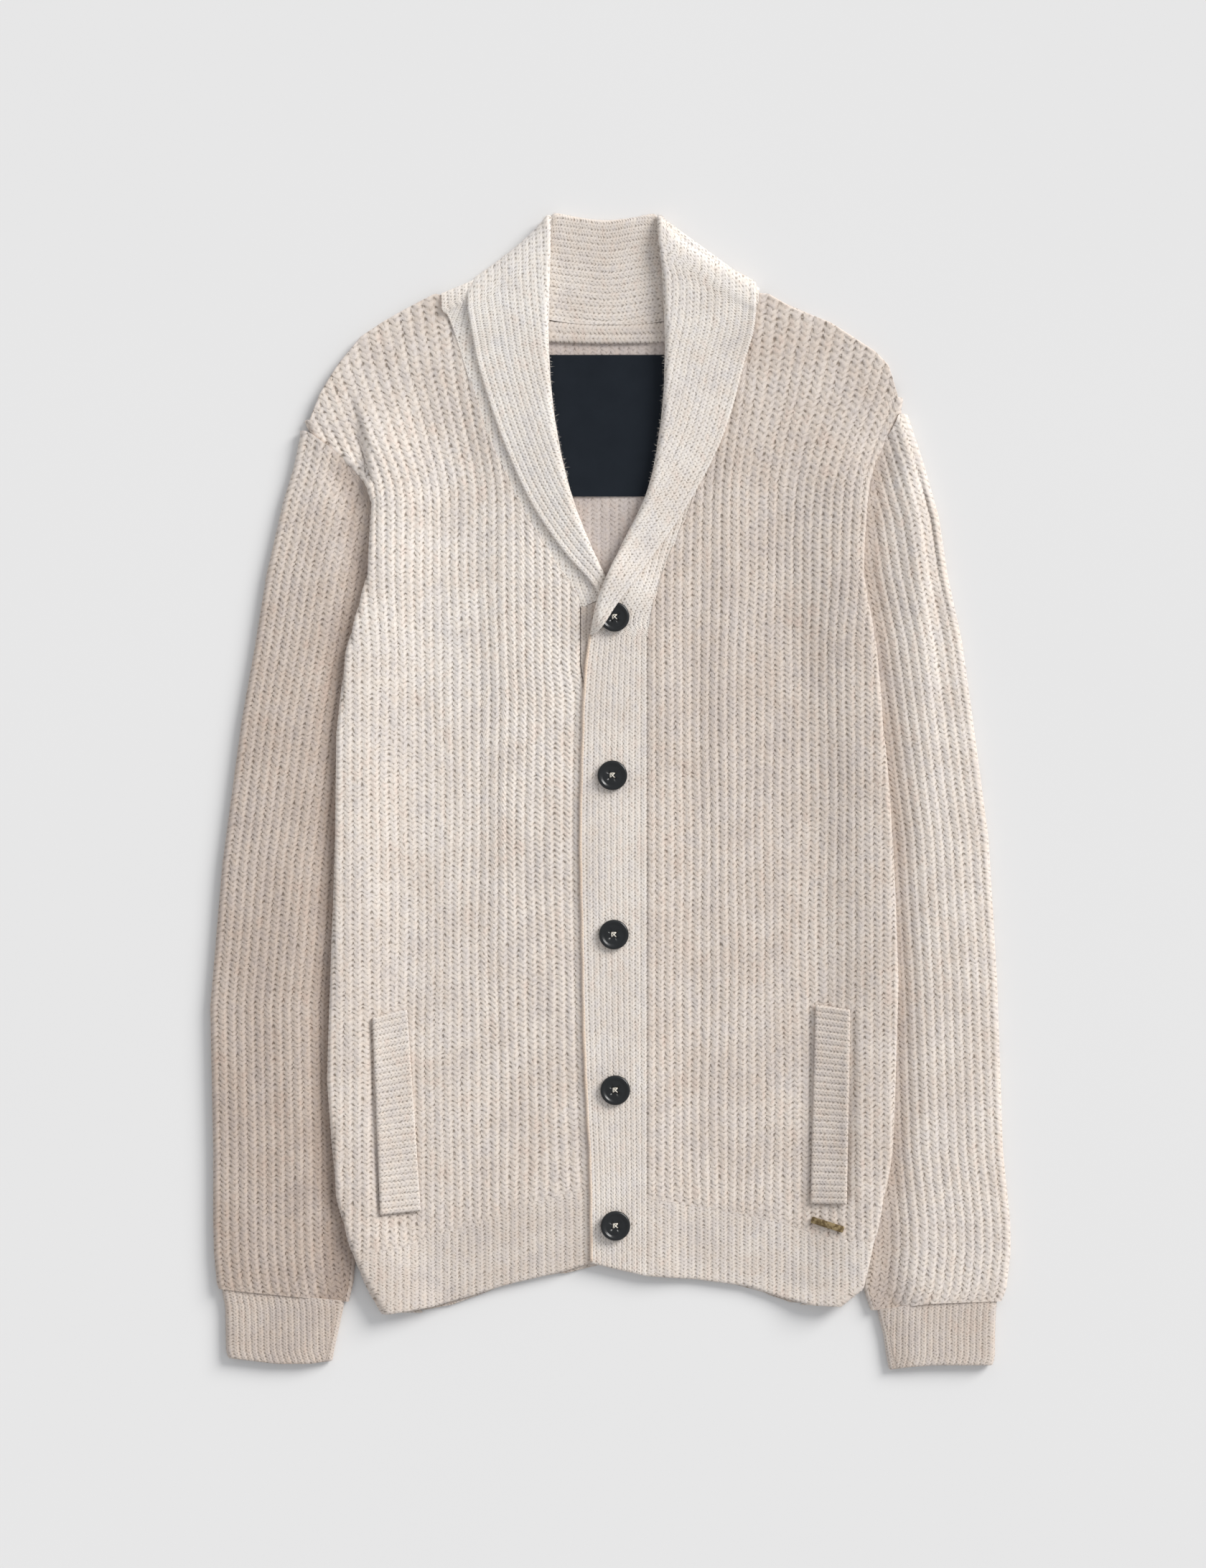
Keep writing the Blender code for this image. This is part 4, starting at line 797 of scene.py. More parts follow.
# %% Front piece
def front_piece(name, sign, side, centre, pitch, rib, stitch, ribs, fine, rows, bottom, top,
                material, seed, tone, neck=0.0, tall=None):
    """A front or its hem as a knitted shell.

    A hem has its lower edge rounded. A front has its upper edge rounded from the neck point
    outwards, where no collar is linked to it, and sways its rib lines by up to a millimetre.
    """
    is_hem = tall is not None
    cut = FRONT_HEM_CUT if is_hem else FRONT_CUT
    flat = ribs * fine + 1
    share = np.concatenate((np.linspace(0, 1, flat), np.ones(len(SIDE_ANGLES) + len(SIDE_REACH_UNDER))))
    low, high = [column_ends(side, centre, ribs * pitch, share, flat, table) for table in (bottom, top)]
    y = low + row_shares(rows, cut.length, is_hem, not is_hem)[:, None] * (high - low)
    x, turn = rib_places(side, centre, ribs * pitch, share, y)
    u = (x - centre) / (pitch * read_table(side, "spread", y))
    u[:, flat:] += np.concatenate((SIDE_ANGLES * 2.0, SIDE_REACH_UNDER + 4)) / pitch
    v = tall * y if is_hem else stitches_up(y)
    if not is_hem:
        sway = np.sin(y / 47.0 + 9.0 * share + seed) + 0.6 * np.sin(y / 21.0 - 14.0 * share)
        x = x + 0.55 * sway * ease(share * 6) * ease((1 - share) * 5)
    if centre == LEFT_CENTRE:
        x[:, 0] -= 2 * SEAM
    else:
        x = x - band_lap(y) * np.clip(1 - (x - centre) / LAP_SPREAD, 0, 1) ** 2
    z = front_height(side, centre, x, y)
    shown = roll_side(side, x, y, z, turn, flat)
    middle = np.stack((sign * x, y, z), axis=2)
    relief = soft_rib(u, rib) if is_hem else rib_relief(u, v + rib_offsets(u, seed), rib, stitch)
    from_end, from_hem = (y - low, high - y) if is_hem else (high - y, y - low)
    relief = relief * shown * (0.45 + 0.55 * ease(from_hem / 5))
    if centre == RIGHT_CENTRE:
        relief = relief * (1 - below_the_throat(y) * (1 - ease((x - x[:, :1]) / 2.6)))
    keep = [*range(0, flat - 10, 3 * fine), flat - 6, flat - 1, flat + 3, flat + 7,
            *range(flat + len(SIDE_ANGLES), len(share))]
    linked = 0.0 if is_hem else 1.0 - ease((x - neck) / 3)
    return shell(name, middle, relief, u, v, keep, material, flip=sign, seed=seed,
                 taper=np.maximum(rounded(from_end), linked), tone=painted_light_along(y, *tone))


def raised(table, rise, aside=0.0):
    """A seam moved up by rise and away from the middle by aside."""
    return edges(*((row.x + aside, row.y + rise) for row in table))


# %% Fronts
COLLAR_LAP = 3.0        # how far a front's edge reaches in under the collar


def lapped(table, neck):
    """A front's upper seam with its part along the collar moved in, under the collar's edge."""
    return edges(*((row.x - COLLAR_LAP * (row.x < neck), row.y) for row in table))


BODY_RIBS, HEM_RIBS, BODY_ROWS, HEM_ROWS = 26, 28, 560, 24
# The last two columns are painted light and shade by height, for a front and its hem: the light falling
# off across the garment and towards the hem is painted into each piece's tone.
FRONTS = (
    ("front_right", -1, RIGHT_SIDE, RIGHT_CENTRE, RIGHT_HEM_TOP, RIGHT_TOP, RIGHT_HEM_END, 117.6,
     (0.845, 1.0, 0.875), (0.88, 0.90, 0.90)),
    ("front_left", 1, LEFT_SIDE, LEFT_CENTRE, LEFT_HEM_TOP, LEFT_TOP, LEFT_HEM_END, 104.1,
     (0.86, 0.825, 0.85), (0.92, 0.93, 0.93)),
)
for seed, (node, sign, side, centre, hem_top, top, hem_end, neck, tone, hem_painted_light) in enumerate(FRONTS):
    piece = front_piece(node + "_knit", sign, side, centre, BODY_PITCH, BODY_RIB, STITCH_DIP, BODY_RIBS, 4,
                        BODY_ROWS, raised(hem_top, -2 * SEAM), lapped(top, neck), BODY_WOOL,
                        seed, tone, neck)
    finish_cloth(piece, node, FRONT_CUT)
    hem = node.replace("front", "hem")
    piece = front_piece(hem + "_knit", sign, side, centre, HEM_PITCH, 0.42, 0.0, HEM_RIBS, 6,
                        HEM_ROWS, hem_end, raised(hem_top, SEAM), FINE_WOOL,
                        seed + 10, hem_painted_light, tall=1 / 2.6)
    finish_cloth(piece, hem, FRONT_HEM_CUT)

# %% [markdown]
# ## Sleeves and cuffs
#
# A sleeve is a tube pressed flat. One grid goes all the way round: across the top, round the
# inner side that is tucked under the body, along the underside and round the outer side. Two
# flat sheets could be sewn along their sides, but one grid has no seam where none is.

# %% Arm tables
Arm = namedtuple("Arm", "y outer inner")


def arms(*rows):
    """An arm's outer and inner side by height."""
    return tuple(Arm(*row) for row in rows)


RIGHT_ARM = arms(
    (-356.0, 270.0, 182.0), (-341.0, 273.0, 178.5), (-320.0, 275.0, 176.5), (-300.0, 275.5, 176.0),
    (-250.0, 275.5, 181.5), (-150.0, 277.5, 182.0), (-50.0, 269.0, 178.0), (50.0, 255.5, 176.0),
    (100.0, 246.5, 171.0), (150.0, 238.5, 158.0), (200.0, 227.0, 160.0), (223.0, 220.0, 169.0),
    (246.0, 215.0, 169.0))
LEFT_ARM = arms(
    (-362.0, 269.0, 181.5), (-345.0, 275.0, 176.0), (-320.0, 277.8, 176.0), (-300.0, 277.6, 179.0),
    (-250.0, 272.5, 184.0), (-133.0, 268.5, 187.0), (-33.0, 262.5, 184.0), (50.0, 251.5, 177.0),
    (104.0, 244.0, 172.5), (150.0, 234.0, 167.0), (190.0, 228.0, 168.0), (229.0, 217.0, 171.0),
    (262.0, 206.0, 174.0))
RIGHT_ARMHOLE = edges((168.0, 205.0), (171.5, 209.0), (182.5, 221.5), (198.5, 234.5),
                      (210.5, 244.0), (216.0, 246.5))
LEFT_ARMHOLE = edges((183.0, 214.0), (187.0, 226.0), (196.0, 242.5), (206.0, 260.0))
RIGHT_WRIST = edges((184.0, -354.5), (271.0, -345.5))
LEFT_WRIST = edges((184.0, -360.5), (223.0, -355.5), (270.0, -354.0))
RIGHT_CUFF = arms((-398.0, 264.0, 193.5), (-389.0, 267.0, 192.0), (-359.0, 267.5, 185.5),
                  (-346.0, 270.0, 184.0))
LEFT_CUFF = arms((-402.4, 265.0, 194.0), (-392.0, 267.5, 192.0), (-378.0, 267.5, 190.0),
                 (-362.0, 268.0, 186.0), (-354.0, 269.0, 185.0))
RIGHT_CUFF_END = edges((193.0, -396.0), (208.5, -398.0), (231.5, -398.0), (265.0, -394.0))
LEFT_CUFF_END = edges((194.0, -402.4), (210.5, -400.0), (227.0, -399.0), (265.0, -399.0))

Fold = namedtuple("Fold", "y x height")
LEFT_ARM_FOLD = tuple(Fold(*row) for row in (
    (-60.0, 224.0, 0.0), (60.0, 220.0, 1.2), (110.0, 217.0, 2.0), (174.0, 213.0, 2.6),
    (220.0, 207.0, 2.4), (262.0, 203.0, 1.6)))
print("sleeves as laid:", RIGHT_ARM[-1].y - RIGHT_CUFF[0].y, "and", LEFT_ARM[-1].y - LEFT_CUFF[0].y, "mm")


# %% A tube's sides
# painted shade: the wool is painted darker down in the fold beside the body, where shade falls.
PAINTED_FOLD_SHADE = 0.22       # how much darker the wool is down in the fold beside the body
INNER_TURN = np.radians(np.arange(20, 161, 20))         # round the tucked inner side
UNDERSIDE = np.array((0.1, 0.35, 0.65, 0.9))            # shares of the way back along the underside
OUTER_TURN = np.radians(np.arange(165, 14, -15))        # round the outer side
OUTER_IN, INNER_IN = 4.0, (TUCK_Z - BACK_Z) / 2 + 0.6   # radius of either side's turn, seen from above


def fold_relief(folds, x, y):
    """A ridge with a trough beside it: h * (exp(-(d / 8)^2) - 0.55 exp(-((d - 11) / 6)^2))."""
    off = x - read_table(folds, "x", y)
    return read_table(folds, "height", y) * (np.exp(-(off / 8.0) ** 2)
                                             - 0.55 * np.exp(-((off - 11) / 6.0) ** 2))


print("columns beside the shown side:", len(INNER_TURN) + len(UNDERSIDE) + len(OUTER_TURN))


# %% Sleeve and cuff piece
def tube_piece(name, sign, arm, crown, hidden, pitch, rib, stitch, ribs, fine, rows, bottom, top,
               material, seed, tone, folds=(), tall=None):
    """A sleeve or cuff: x runs in from the outer side by the rib count, z eases down to the tuck.

    A sleeve swells towards the armhole, where it meets the body; a cuff has its end rounded. Both
    are painted darker into the fold beside the body, a sleeve more than a cuff: painted shade.
    """
    is_cuff = tall is not None
    cut = CUFF_CUT if is_cuff else SLEEVE_CUT
    flat = ribs * fine + 1
    share = np.linspace(0, 1, flat)
    inner = slice(flat, flat + len(INNER_TURN))
    under = slice(inner.stop, inner.stop + len(UNDERSIDE))
    outer = slice(under.stop, under.stop + len(OUTER_TURN))
    count = outer.stop

    def across(y):
        """x of every column, the ribs' spots and the inner side, at heights y."""
        inside = read_table(arm, "inner", y) + HALF
        start = read_table(arm, "outer", y) - HALF - OUTER_IN
        room = start[:, :flat] - (inside[:, :flat] + INNER_IN)
        spot = np.minimum(share * ribs * pitch, room - (1 - share) * ribs)
        x = np.zeros(y.shape)
        x[:, :flat] = start[:, :flat] - spot
        x[:, inner] = inside[:, inner] + INNER_IN * (1 - np.sin(INNER_TURN))
        x[:, under] = inside[:, under] + INNER_IN \
            + UNDERSIDE * (start[:, under] - inside[:, under] - INNER_IN)
        x[:, outer] = start[:, outer] + OUTER_IN * np.sin(OUTER_TURN)
        return x, spot, inside

    ends = []
    for table in (bottom, top):
        guess = np.full((1, count), np.mean([row.y for row in table]))
        for _ in range(4):
            guess = seam_height(table, across(guess)[0])
        ends.append(guess)
    low, high = ends
    y = low + row_shares(rows, cut.length, is_cuff, False)[:, None] * (high - low)
    x, spot, inside = across(y)
    shown = x[:, :flat] - inside[:, :flat] - hidden
    z = np.full(y.shape, BACK_Z)
    free = ease(shown / 30) * ease((share * ribs) / 3)
    swell = ripple(sign * x[:, :flat] * 1.6, y[:, :flat] * 1.3 + 90 * sign) * 1.3 * free
    z[:, :flat] = TUCK_Z + (crown - TUCK_Z) * ease(shown / 20) + (0.0 if is_cuff else swell)
    if not is_cuff:
        armhole = ease(1 - (high - y)[:, :flat] / 16.0)
        z[:, :flat] += 1.2 * armhole * ease((share * ribs) / 1.5)
    for bend, last, angles in ((inner, z[:, flat - 1:flat], INNER_TURN), (outer, z[:, :1], OUTER_TURN)):
        z[:, bend] = (last + BACK_Z) / 2 + (last - BACK_Z) / 2 * np.cos(angles)
    middle = np.stack((sign * x, y, z), axis=2)
    u = np.concatenate((share * ribs, ribs + INNER_TURN * 2.5 / pitch, ribs + 2 + UNDERSIDE * ribs,
                        -OUTER_TURN * 3.0 / pitch, (0.0,)))
    height = np.concatenate((y, y[:, :1]), axis=1)
    v = tall * height if is_cuff else stitches_up(height)
    fade = np.clip(np.abs(np.gradient(spot, axis=1)) / (pitch / fine) * 1.6 - 0.6, 0, 1)
    relief = np.zeros(y.shape)
    shifts = rib_offsets(np.broadcast_to(u, v.shape), seed)
    knit = soft_rib(u, rib) * np.ones(v.shape) if is_cuff else rib_relief(u, v + shifts, rib, stitch)
    knit[:, :-1] *= 0.45 + 0.55 * ease((high - y if is_cuff else y - low) / 5)
    relief[:, :flat] = knit[:, :flat] * fade * ease((shown + 2) / 5)
    relief[:, outer] = knit[:, outer] * ease((math.radians(140) - OUTER_TURN) / math.radians(60))
    if folds:
        relief[:, :flat] += fold_relief(folds, x[:, :flat], y[:, :flat])
    # painted shade: darker in the fold beside the body, fading over about 9 mm from where the sleeve goes
    # under.
    painted_fold_shade = np.ones(y.shape)
    painted_fold_shade[:, :flat] -= (0.1 if is_cuff else PAINTED_FOLD_SHADE) * np.exp(-(np.maximum(shown, 0) / 9.0) ** 2)
    keep = [*range(0, flat - 4, 3 * fine), *range(flat - 1, count, 2)]
    return shell(name, middle, relief, u, v, keep, material, wrap=True, flip=-sign, seed=seed,
                 taper=rounded(y - low) if is_cuff else 1.0, tone=painted_light_along(y, *tone) * painted_fold_shade)


# %% Sleeves
SLEEVE_RIBS, CUFF_RIBS, SLEEVE_ROWS, CUFF_ROWS = 14, 17, 520, 24
# The last two columns are painted light and shade by height, for a sleeve and its cuff: the right sleeve,
# turned away from the light, is painted much darker towards its cuff.
ARMS = (
    ("right", -1, RIGHT_ARM, RIGHT_WRIST, raised(RIGHT_ARMHOLE, 4.0, -4.0), RIGHT_CUFF, RIGHT_CUFF_END, (),
     (0.65, 0.735, 1.04), (0.76, 0.76, 0.76)),
    ("left", 1, LEFT_ARM, LEFT_WRIST, raised(LEFT_ARMHOLE, 2.0, -5.5), LEFT_CUFF, LEFT_CUFF_END,
     LEFT_ARM_FOLD, (0.90, 0.95, 1.0), (0.84, 0.84, 0.84)),
)
for seed, (way, sign, arm, wrist, armhole, cuff, cuff_end, folds, tone, cuff_painted_light) in enumerate(ARMS, 20):
    node = "sleeve_" + way
    piece = tube_piece(node + "_knit", sign, arm, SLEEVE_Z, TUCKED, SLEEVE_PITCH, BODY_RIB, STITCH_DIP,
                       SLEEVE_RIBS, 4, SLEEVE_ROWS, raised(wrist, -SEAM), armhole, BODY_WOOL,
                       seed, tone, folds)
    finish_cloth(piece, node, SLEEVE_CUT)
    node = "cuff_" + way
    piece = tube_piece(node + "_knit", sign, cuff, CUFF_Z, 0.0, CUFF_PITCH, 0.40, 0.0, CUFF_RIBS, 6,
                       CUFF_ROWS, cuff_end, raised(wrist, SEAM), FINE_WOOL,
                       seed + 10, cuff_painted_light, tall=1 / 2.3)
    finish_cloth(piece, node, CUFF_CUT)


# %% [markdown]
# ## Back
#
# The back lies flat on the table. Only its inside shows, in the open neck and below the front
# hems, so its ribs are fine there and its skin is plain elsewhere. A flat sheet with a cut-out
# neck would do for the eye; a grid whose top row dips keeps the wall closed without any cutting.

# %% Back panel
NECK_DROP = 20.5
SHOULDER_Y = 345.6
BACK_HALVES = ((RIGHT_SIDE, RIGHT_TOP, 261.0), (LEFT_SIDE, LEFT_TOP, 282.0))


def back_limits(y):
    """The back's edge on either side: the side seam, and above the armhole the shoulder."""
    found = []
    for side, top, armhole in BACK_HALVES:
        seam = read_table(side, "edge", y) - read_table(side, "tuck", y) - 8 * SEAM
        shoulder = [row for row in top if row.x > 103][::-1]
        limit = np.interp(y, [row.y for row in shoulder], [row.x for row in shoulder])
        found.append(np.where(y < armhole, seam, limit - 1.2))
    return found


def back_piece():
    """The back: rib lines near the middle, wider steps to the sides, the neckline dipped."""
    y = np.unique(np.concatenate((
        (-321.0, -300.0, -280.0, -200.0, -80.0, 40.0, 95.0, 260.0, 261.5, 281.0, 282.5),
        np.arange(120.0, SHOULDER_Y, 1.6), (SHOULDER_Y,))))
    share = (y - y[0]) / (y[-1] - y[0])
    ribs, fine = 16, 4
    inner = (np.arange(ribs * fine + 1) / fine - ribs / 2) * BODY_PITCH
    right, left = back_limits(y)
    shares = np.array((1.0, 0.75, 0.5, 0.25))
    x = np.concatenate((inner[0] + (-right[:, None] - inner[0]) * shares,
                        np.broadcast_to(inner, (len(y), len(inner))),
                        inner[-1] + (left[:, None] - inner[-1]) * shares[::-1]), axis=1)
    hem = np.where(x < 0, seam_height(RIGHT_HEM_TOP, -x), seam_height(LEFT_HEM_TOP, x))
    dip = NECK_DROP * (1 - np.clip(x / 112.0, -1, 1) ** 2)
    heights = y[:, None] + (hem - y[0]) * (1 - share[:, None]) - dip * share[:, None] ** 8
    middle = np.stack((x, heights, np.full(x.shape, BACK_Z)), axis=2)
    u = x / BODY_PITCH + 60.0
    v = heights / 3.4
    deep = 0.20 + 0.20 * ease((199.0 - heights) / 4)
    shown = ease((44.0 - np.abs(x + 1.5)) / 4) * (heights > 120.0)
    relief = rib_relief(u, v, 1.0, STITCH_DIP) * deep * shown
    columns = x.shape[1]
    keep = [0, 2, 4, *range(12, columns - 8, 8), columns - 5, columns - 3, columns - 1]
    # The back's inside takes the darker inside wool: painted shade deep in the neck.
    return shell("back_knit", middle, relief, u, v, keep, SHADED_INSIDE_WOOL, floor=False, seed=40)


finish_cloth(back_piece(), "back", BACK_CUT)


# %% Back hem
def back_hem_piece():
    """The back's hem: a flat strip between its own seam and its lower edge."""
    f = np.linspace(-1, 1, 241)
    side_is_right = f < 0
    guess = np.abs(f) * 150
    high = np.where(side_is_right, seam_height(RIGHT_HEM_TOP, guess), seam_height(LEFT_HEM_TOP, guess))
    low = np.where(side_is_right, seam_height(RIGHT_HEM_END, guess), seam_height(LEFT_HEM_END, guess))
    high = high - 5 * SEAM
    peek = np.interp(guess * 0.87, (0.0, 9.0, 14.0, 28.5, 40.0, 60.0),
                     (-328.0, -328.9, -330.5, -335.4, -335.8, -337.0))
    low = np.where(guess * 0.87 < 60, peek, low + 1.5)
    y = low + np.linspace(0, 1, 12)[:, None] * (high - low)
    halves = [read_table(side, "edge", y) - read_table(side, "tuck", y) - 6 * SEAM
              for side in (RIGHT_SIDE, LEFT_SIDE)]
    x = f * np.where(side_is_right, halves[0], halves[1])
    middle = np.stack((x, y, np.full(y.shape, BACK_Z)), axis=2)
    u = (f + 1) * 28.0
    v = y / FINE_STITCH
    relief = rib_relief(u, v, 0.28, 0.0) * np.ones(y.shape)
    # tone 0.88 is painted shade: the strip that shows below the front hems is painted darker.
    return shell("hem_back_knit", middle, relief, u, v, [0, 60, 120, 180, 240], FINE_WOOL,
                 floor=False, seed=41, tone=0.88)


finish_cloth(back_hem_piece(), "hem_back", BACK_HEM_CUT)

# %% [markdown]
# ## Bands
#
# The buttonhole band lies on the button band. Its ribs run lengthwise. Either band could be
# cut in one with its front, but on the real garment it is knitted apart and linked on, so it
# is a strip of its own here too, with ribs of its own width.

# %% Band surfaces
BAND_RIBS, BAND_RELIEF, BAND_TOP = 11, 0.28, 107.6


def band_piece():
    """The upper band: straight rib lines from its free edge to the front's seam."""
    ribs, fine = BAND_RIBS, 6
    share = np.linspace(0, 1, ribs * fine + 1)
    low = -328.0 - 9.0 * share
    high = BAND_TOP + 1.6 - 1.3 * share
    y = low + row_shares(230, BAND_CUT.length, last=False)[:, None] * (high - low)
    edge = band_edge(y)
    x = edge + (LEFT_CENTRE - SEAM - edge) * share
    x[:, -1] += SEAM
    middle = np.stack((x, y, np.full(y.shape, TOP_BAND_Z)), axis=2)
    u = share * ribs
    v = y / FINE_STITCH
    relief = soft_rib(u, BAND_RELIEF) * np.ones(y.shape)
    keep = [0, 18, 42, len(share) - 1]
    return shell("band_left_knit", middle, relief, u, v, keep, FINE_WOOL, seed=50,
                 taper=rounded(y - low))


def under_band_piece():
    """The button band: a plain strip under the upper one."""
    share = np.linspace(0, 1, 67)
    low = -326.5 - 9.0 * share
    high = 127.6 + 10.2 * share
    y = low + np.linspace(0, 1, 60)[:, None] * (high - low)
    right = np.interp(y, (85.0, 108.0, 138.0), (24.6, 20.0, 2.6))
    left = SEAM + 0.1 - RIGHT_CENTRE + band_lap(y)
    x = left + (right - left) * share
    middle = np.stack((x, y, np.full(y.shape, FRONT_Z)), axis=2)
    u = (x - x[:, :1]) / BAND_PITCH
    # tone 0.84 is painted shade: the strip of button band beside the upper band's edge is painted darker.
    return shell("band_right_knit", middle, soft_rib(u, 0.3), u, y / FINE_STITCH,
                 [0, 40, len(share) - 1], FINE_WOOL, seed=51, tone=0.84)


finish_cloth(band_piece(), "band_left", BAND_CUT)
finish_cloth(under_band_piece(), "band_right", UNDER_BAND_CUT)

# %% [markdown]
# ## Collar
#
# The shawl collar is one long doubled strip. At each station along it lie the collar seam,
# the roll line and the outer edge. Between stations a smooth line is read through all three,
# so the strip turns over at the sides of the neck in one sweep. Three pieces, two fronts and
# a back neck, would be simpler, but they would show joints that the real strip hasn't.

# %% Collar stations
Rib = namedtuple("Rib", "seam roll edge half")
COLLAR_RIGHT = tuple(Rib(*row) for row in (
    ((-20.2, 127.5, 3.6), (3.0, 138.0, 4.9), (-6.0, 134.0, 6.2), 1.3),
    ((-24.5, 138.5, 3.6), (-2.7, 148.5, 5.1), (-12.5, 143.5, 6.5), 1.4),
    ((-40.8, 162.3, 3.6), (-14.6, 173.5, 6.2), (-32.0, 166.0, 6.9), 2.3),
    ((-60.8, 195.2, 4.0), (-26.5, 205.0, 7.6), (-53.4, 197.2, 7.3), 2.8),
    ((-82.6, 240.4, 4.0), (-37.0, 249.5, 7.9), (-74.2, 242.0, 7.3), 2.85),
    ((-101.5, 298.0, 4.7), (-42.5, 305.0, 8.9), (-93.0, 300.0, 8.1), 2.6),
    ((-109.0, 322.0, 5.4), (-42.7, 329.0, 9.8), (-95.6, 314.0, 8.9), 2.5),
    ((-113.0, 331.5, 6.2), (-42.0, 362.0, 10.7), (-98.0, 327.5, 9.8), 2.1)))
COLLAR_LEFT = tuple(Rib(*row) for row in (
    ((27.0, 107.4, 6.1), (-14.0, 108.5, 7.5), (-10.0, 109.3, 8.9), 1.4),
    ((28.0, 114.0, 6.1), (-12.2, 118.5, 9.6), (-4.4, 115.4, 13.2), 3.2),
    ((28.8, 121.0, 6.1), (-9.5, 131.0, 10.5), (3.0, 127.0, 13.4), 2.9),
    ((30.8, 134.0, 5.9), (-2.7, 148.5, 12.5), (13.8, 141.5, 13.2), 1.7),
    ((38.8, 159.3, 5.0), (9.2, 173.5, 8.4), (30.0, 163.5, 9.4), 2.3),
    ((53.4, 193.5, 4.2), (24.4, 205.0, 7.7), (51.4, 194.6, 7.8), 2.8),
    ((71.5, 243.0, 4.0), (34.0, 248.0, 7.9), (77.0, 243.0, 7.9), 2.85),
    ((90.0, 300.0, 4.2), (38.0, 305.0, 8.9), (94.5, 302.0, 9.8), 2.6),
    ((96.0, 323.0, 5.4), (37.5, 329.0, 9.8), (99.0, 317.0, 11.3), 2.5),
    ((99.5, 334.0, 6.8), (36.0, 362.0, 10.7), (101.0, 330.5, 12.2), 2.1)))
BACK_STATIONS = tuple(Rib(*row) for row in (
    ((-64.0, 332.5, 3.7), (-37.5, 402.0, 2.7), (-58.0, 341.5, 1.1), 1.6),
    ((-30.0, 325.6, 3.6), (-20.0, 398.8, 2.7), (-27.0, 334.0, 1.1), 1.6),
    ((0.0, 324.2, 3.6), (-3.0, 397.2, 2.7), (0.0, 332.5, 1.1), 1.6),
    ((30.0, 325.6, 3.6), (13.0, 398.6, 2.7), (27.0, 334.0, 1.1), 1.6),
    ((62.0, 333.5, 3.7), (29.5, 401.5, 2.7), (56.0, 342.0, 1.1), 1.6)))
Turn = namedtuple("Turn", "roll edge seam")
TURN_RIGHT = Turn((-41.4, 395.7, 6.8), (-99.3, 344.6, 4.4), (-117.0, 342.0, 4.5))
TURN_LEFT = Turn((33.2, 396.2, 6.8), (101.3, 345.8, 6.8), (103.0, 345.5, 5.6))
TURN_INNER, TURN_OUTER, TURN_DEPTH = 2.6, 5.7, 4.0
Sag = namedtuple("Sag", "fall stand corner")
SAG_RIGHT, SAG_LEFT, SAG_REACH = Sag(5.5, 8.0, 3.5), Sag(7.8, 0.0, 1.0), 25.0
UP = np.array((0.0, 0.0, 1.0))
print("stations of the collar:", len(COLLAR_RIGHT) + len(BACK_STATIONS) + len(COLLAR_LEFT))


# %% Stations round the side folds
TURN_STEPS = (0, 30, 60, 90, 120, 150)      # degrees


def turn_stations(turn, outward, steps):
    """Stations round a side fold: seam, roll and edge turn about a level axis.

    The turn is half an ellipse, TURN_DEPTH longer in plan than it is high. While it turns, the
    cloth slides along the axis so far that its ribs run straight up over the fold: the step is
    lift + slide, with slide on the axis and no x left in it.
    """
    along = np.subtract(turn.edge, turn.roll)[:2]
    along = along / np.linalg.norm(along)
    out = np.array((along[1], -along[0])) * outward
    plan = np.array((*(out - along * out[0] / along[0]), 0.0))
    made = []
    for degrees in steps:
        angle = math.radians(degrees)
        lift = np.array((*(out * math.sin(angle)), math.cos(angle)))
        points = []
        for point, radius in ((turn.seam, TURN_INNER), (turn.roll, (TURN_INNER + TURN_OUTER) / 2),
                              (turn.edge, TURN_OUTER)):
            reach = (radius + TURN_DEPTH) * math.sin(angle) - TURN_DEPTH
            points.append(np.array(point) + plan * reach + UP * radius * math.cos(angle))
        made.append((*points, (TURN_OUTER - TURN_INNER) / 2, lift))
    return made


Sweep = namedtuple("Sweep", "places at seam roll edge half lift")


def collar_sweep():
    """The sections all along the collar, read every 3 mm through the stations."""
    stations = [(*row[:3], row.half, UP) for row in COLLAR_RIGHT]
    stations += turn_stations(TURN_RIGHT, 1.0, TURN_STEPS)
    stations += [(*row[:3], row.half, -UP) for row in BACK_STATIONS]
    stations += turn_stations(TURN_LEFT, -1.0, TURN_STEPS[::-1])
    stations += [(*row[:3], row.half, UP) for row in COLLAR_LEFT[::-1]]
    table = np.array([np.concatenate((*map(np.array, s[:3]), (s[3],), s[4])) for s in stations])
    hops = np.linalg.norm(np.diff(table[:, :6], axis=0), axis=1)
    places = np.concatenate(((0.0,), np.cumsum(hops)))
    at = np.unique(np.concatenate((places, np.arange(0, places[-1], 3.0))))
    rows = follow(places, table, at)
    lift = rows[:, 10:13] / np.linalg.norm(rows[:, 10:13], axis=1, keepdims=True)
    return Sweep(places, at, rows[:, 0:3], rows[:, 3:6], rows[:, 6:9], rows[:, 9:10], lift)


sweep = collar_sweep()
print("collar:", len(sweep.at), "sections over", round(sweep.places[-1]), "mm")


# %% Collar section
STAND_RIBS, FALL_RIBS, COLLAR_FINE = 15, 12, 6
STAND_SHARE = np.linspace(0, 1, STAND_RIBS * COLLAR_FINE + 1)
FALL_SHARE = np.linspace(0, 1, FALL_RIBS * COLLAR_FINE + 1)
ROLL_BENDS = np.radians(np.arange(20, 161, 20))
STAND_END = len(STAND_SHARE)
FALL_START = STAND_END + len(ROLL_BENDS)


